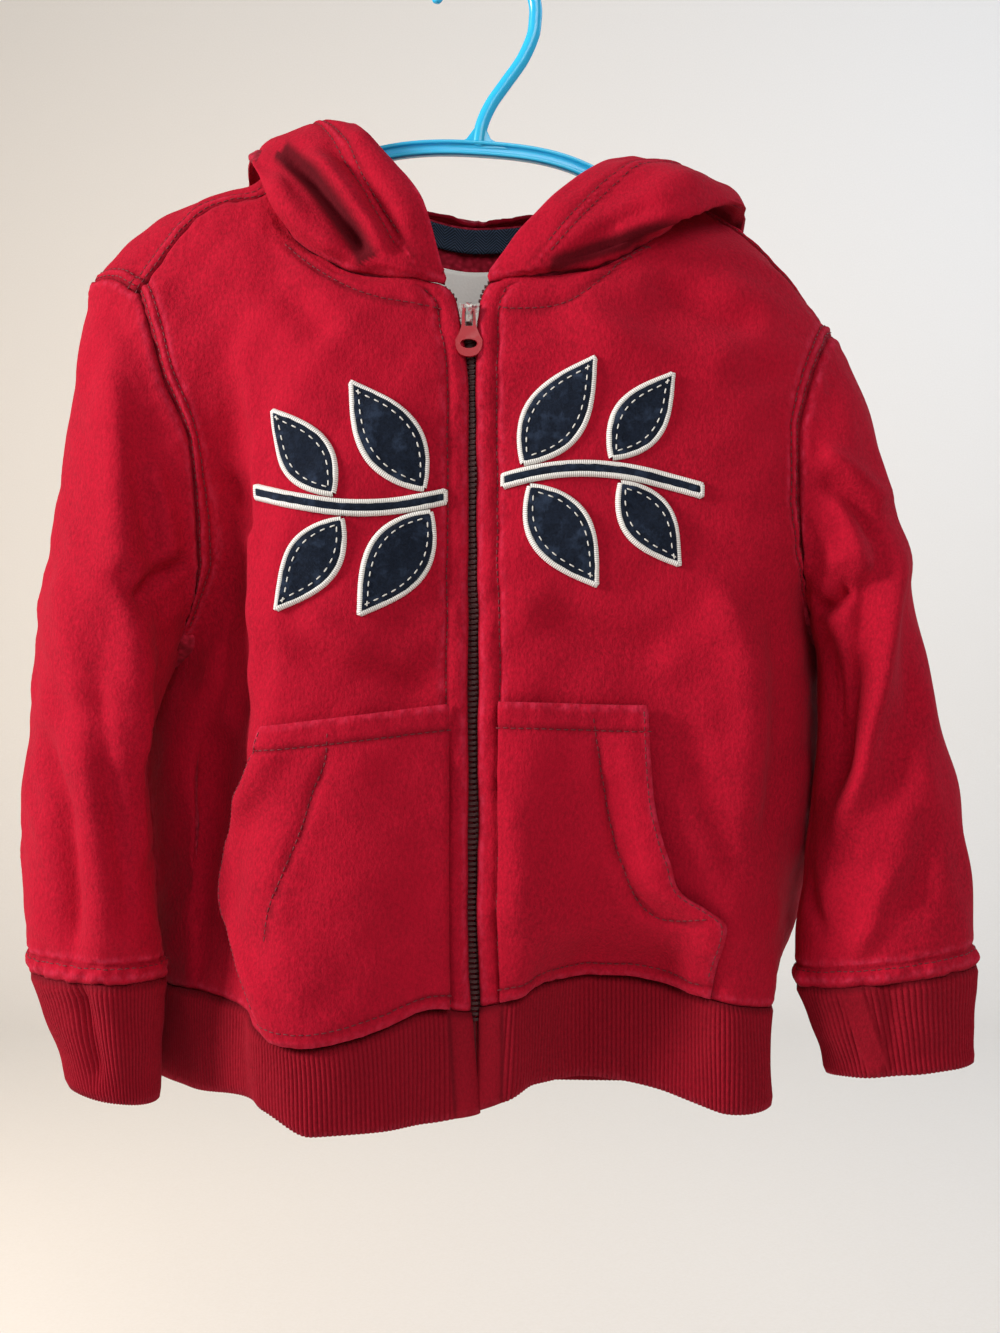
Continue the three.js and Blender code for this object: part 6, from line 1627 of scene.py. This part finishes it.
def inside_back(name, drops, xs, depth, thickness, material, slot, node):
    fine = np.linspace(3, 7, 400)
    line = back.at(fine, np.full(400, back.rows))
    columns = np.interp(xs, line[:, 0], fine)
    rows = np.linspace(back.rows, UNDERARM_ROW, 600)
    points, normals, uv = [], [], []
    for x, column in zip(xs, columns):
        down = back.at(np.full(600, column), rows)
        length = np.concatenate([[0], np.cumsum(np.linalg.norm(np.diff(down, axis=0), axis=1))])
        places = np.interp(drops, length, rows)
        points.append(back.at(np.full(len(drops), column), places))
        normals.append(back.normal(np.full(len(drops), column), places, True))
        uv.append(np.column_stack([np.full(len(drops), x), drops]))
    points, normals = np.array(points), np.array(normals)
    outer = points - normals * depth
    piece_points = np.stack([outer, outer - normals * thickness])
    faces = np.concatenate(shell_faces(*outer.shape[:2], False))
    uv = np.array(uv).reshape(-1, 2)
    piece = make_mesh(name, piece_points, faces, [material], uv=np.concatenate([uv, uv]))
    settle(piece, slot, node)
    flat, area = cut_size(outer)
    COVER[name] = {"piece": piece, "sheet": dict(flat=flat, area=area, held="hung", rests_on=["back_panel"]),
                   "trim": []}


inside_back("neck_tape_strip", np.linspace(1, 13, 9), np.linspace(-60, 56, 60), CLOTH + 0.9, TAPE_CLOTH,
            TWILL_NAVY, "twill_tape", "neck_tape")
inside_back("neck_label", np.linspace(22, 52, 14), np.linspace(-28, 12, 18), CLOTH + 0.4, TAPE_CLOTH,
            LABEL_WHITE, "label_satin", "label")


# Hanger

def bent_line(points, count):
    """An even curve through points that may swing freely."""
    points = np.array(points, float)
    ahead = np.concatenate([[2 * points[0] - points[1]], points, [2 * points[-1] - points[-2]]])
    out = []
    for i in range(len(points) - 1):
        a, b, c, d = ahead[i:i + 4]
        for t in np.linspace(0, 1, count, endpoint=False):
            out.append(0.5 * (2 * b + (c - a) * t + (2 * a - 5 * b + 4 * c - d) * t ** 2
                              + (3 * b - a - 3 * c + d) * t ** 3))
    out.append(points[-1])
    return np.array(out)


def sweep(path, scales, section, skew=0.0):
    """A closed section carried along a path in the upright plane."""
    way = unit(np.gradient(path, axis=0))
    section = np.array(section, float)
    points = np.zeros((len(path), len(section), 3))
    points[..., 0] = path[:, :1] - way[:, 1:] * section[:, 0] * scales[:, None]
    points[..., 2] = path[:, 1:] + way[:, :1] * section[:, 0] * scales[:, None]
    points[..., 1] = skew * path[:, :1] + section[:, 1] * scales[:, None]
    n, m = len(path), len(section)
    i, k = np.meshgrid(np.arange(n - 1), np.arange(m), indexing="ij")
    j = (k + 1) % m
    faces = np.stack([i * m + k, i * m + j, (i + 1) * m + j, (i + 1) * m + k], -1).reshape(-1, 4).tolist()
    faces += [tuple(range(m))[::-1], tuple((n - 1) * m + v for v in range(m))]
    return points.reshape(-1, 3), faces


def hanger_pieces():
    h, d, w = 3.3, 2.8, 1.3
    f = h - 1.7
    beam = [(h, -d), (h, d), (f, d), (f, w), (-f, w), (-f, d), (-h, d), (-h, -d), (-f, -d), (-f, -w), (f, -w),
            (f, -d)]
    bar = bent_line(BAR, 12)
    scales = np.ones(len(bar))
    scales[:3], scales[-3:] = (0.6, 0.85, 0.96), (0.96, 0.85, 0.6)
    radius = HOOK_BORE + 3.1
    turn = np.radians(np.linspace(-4, HOOK_TURN + 2, 48))
    hook = np.concatenate([bent_line(STEM, 10)[:-4], np.column_stack([radius * np.cos(turn),
                                                                     -HOOK_BORE + radius * np.sin(turn)])])
    hook_scales = np.ones(len(hook))
    hook_scales[-3:] = (0.95, 0.8, 0.5)
    ring = [(3.1 * math.cos(a), 2.6 * math.sin(a)) for a in np.arange(20) * 2 * math.pi / 20]
    foot = STEM[0]
    web = [(-15, -0.6), (15, -1.6), (6, 3.4), (3.4, 9), (-1.4, 9), (-5.4, 3.6)]
    gusset = np.array([(foot[0] + x, y, foot[1] + z) for y in (-1.6, 1.6) for x, z in web])
    m = len(web)
    gusset_faces = [tuple(range(m)), tuple(range(2 * m - 1, m - 1, -1))]
    gusset_faces += [(k, k + m, (k + 1) % m + m, (k + 1) % m) for k in range(m)]
    all_points, all_faces, count = [], [], 0
    for points, faces in (sweep(bar, scales, beam, BAR_SKEW), sweep(hook, hook_scales, ring),
                          (gusset, gusset_faces)):
        all_points.append(points)
        all_faces += [tuple(v + count for v in face) for face in faces]
        count += len(points)
    return np.concatenate(all_points), all_faces


points, faces = hanger_pieces()
hanger = make_mesh("moulded_hanger", points, faces, [PLASTIC])
settle(hanger, "hanger_plastic", "hanger")
soft_edges = hanger.modifiers.new("moulded edges", "BEVEL")
soft_edges.width, soft_edges.segments, soft_edges.limit_method = 0.5 * MM, 2, "ANGLE"

for name in ("zip_slider", "zip_pull"):
    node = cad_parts[name]
    node.data.materials.clear()
    node.data.materials.append(BARE_ZINC if name == "zip_slider" else ENAMEL)
    edges = node.modifiers.new("rubbed edges", "BEVEL")
    edges.width, edges.segments, edges.limit_method = 0.18 * MM, 2, "ANGLE"


# Floor, wall, light and camera

def studio():
    width, back_y, floor_z, bend = 8.0, 2.4, -0.95, 0.5
    line = [(-3.0, floor_z), (back_y - bend, floor_z)]
    line += [(back_y - bend + bend * math.sin(a), floor_z + bend - bend * math.cos(a))
             for a in np.radians(np.linspace(9, 90, 10))]
    line += [(back_y, 3.0)]
    points = [(x, y, z) for x in (-width / 2, width / 2) for y, z in line]
    n = len(line)
    mesh = bpy.data.meshes.new("studio_floor")
    mesh.from_pydata(points, [], [(i, i + 1, n + i + 1, n + i) for i in range(n - 1)])
    mesh.polygons.foreach_set("use_smooth", np.ones(len(mesh.polygons), bool))
    floor = bpy.data.objects.new("studio_floor", mesh)
    bpy.context.scene.collection.objects.link(floor)
    mesh.materials.append(plain_finish("matt paint, warm white", "#ECEAE6", "#E5E2DC", 3.0, 0.9, 0.05))


def area_light(name, place, aim, size, power, colour):
    data = bpy.data.lights.new(name, "AREA")
    data.shape, data.size, data.energy, data.color = "SQUARE", size, power, paint(colour)[:3]
    lamp = bpy.data.objects.new(name, data)
    bpy.context.scene.collection.objects.link(lamp)
    lamp.location = place
    way = np.array(aim) - np.array(place)
    lamp.rotation_euler = mathutils.Vector(way).to_track_quat("-Z", "Y").to_euler()


studio()
area_light("window_light", (-1.65, -0.6, 0.35), (0, 0, -0.32), 0.5, 42, "#FFFBF6")
area_light("room_light", (0.6, -1.7, 0.9), (0, 0, -0.3), 1.2, 19, "#FFFAF4")
area_light("wall_light", (-0.9, 0.5, 0.1), (-0.5, 2.4, -0.3), 1.2, 9, "#FFD9AE")
area_light("cool_light", (1.5, 0.5, 0.9), (0.4, 2.4, 0.3), 1.2, 25, "#DCEAFF")
world = bpy.data.worlds.new("studio_air")
world.use_nodes = True
world.node_tree.nodes["Background"].inputs["Color"].default_value = paint("#F4F2EE")
world.node_tree.nodes["Background"].inputs["Strength"].default_value = 0.25
bpy.context.scene.world = world
bpy.context.scene.view_settings.view_transform = "Standard"

camera_data = bpy.data.cameras.new("photo_camera")
camera_data.lens = FOCAL_PIXELS / PHOTO_HEIGHT * SENSOR
camera_data.sensor_width = SENSOR
camera = bpy.data.objects.new("photo_camera", camera_data)
bpy.context.scene.collection.objects.link(camera)
camera.location = (CENTRE[0] * MM, -CAMERA_AWAY * MM, CENTRE[1] * MM)
camera.rotation_euler = (math.pi / 2, 0, 0)
bpy.context.scene.camera = camera
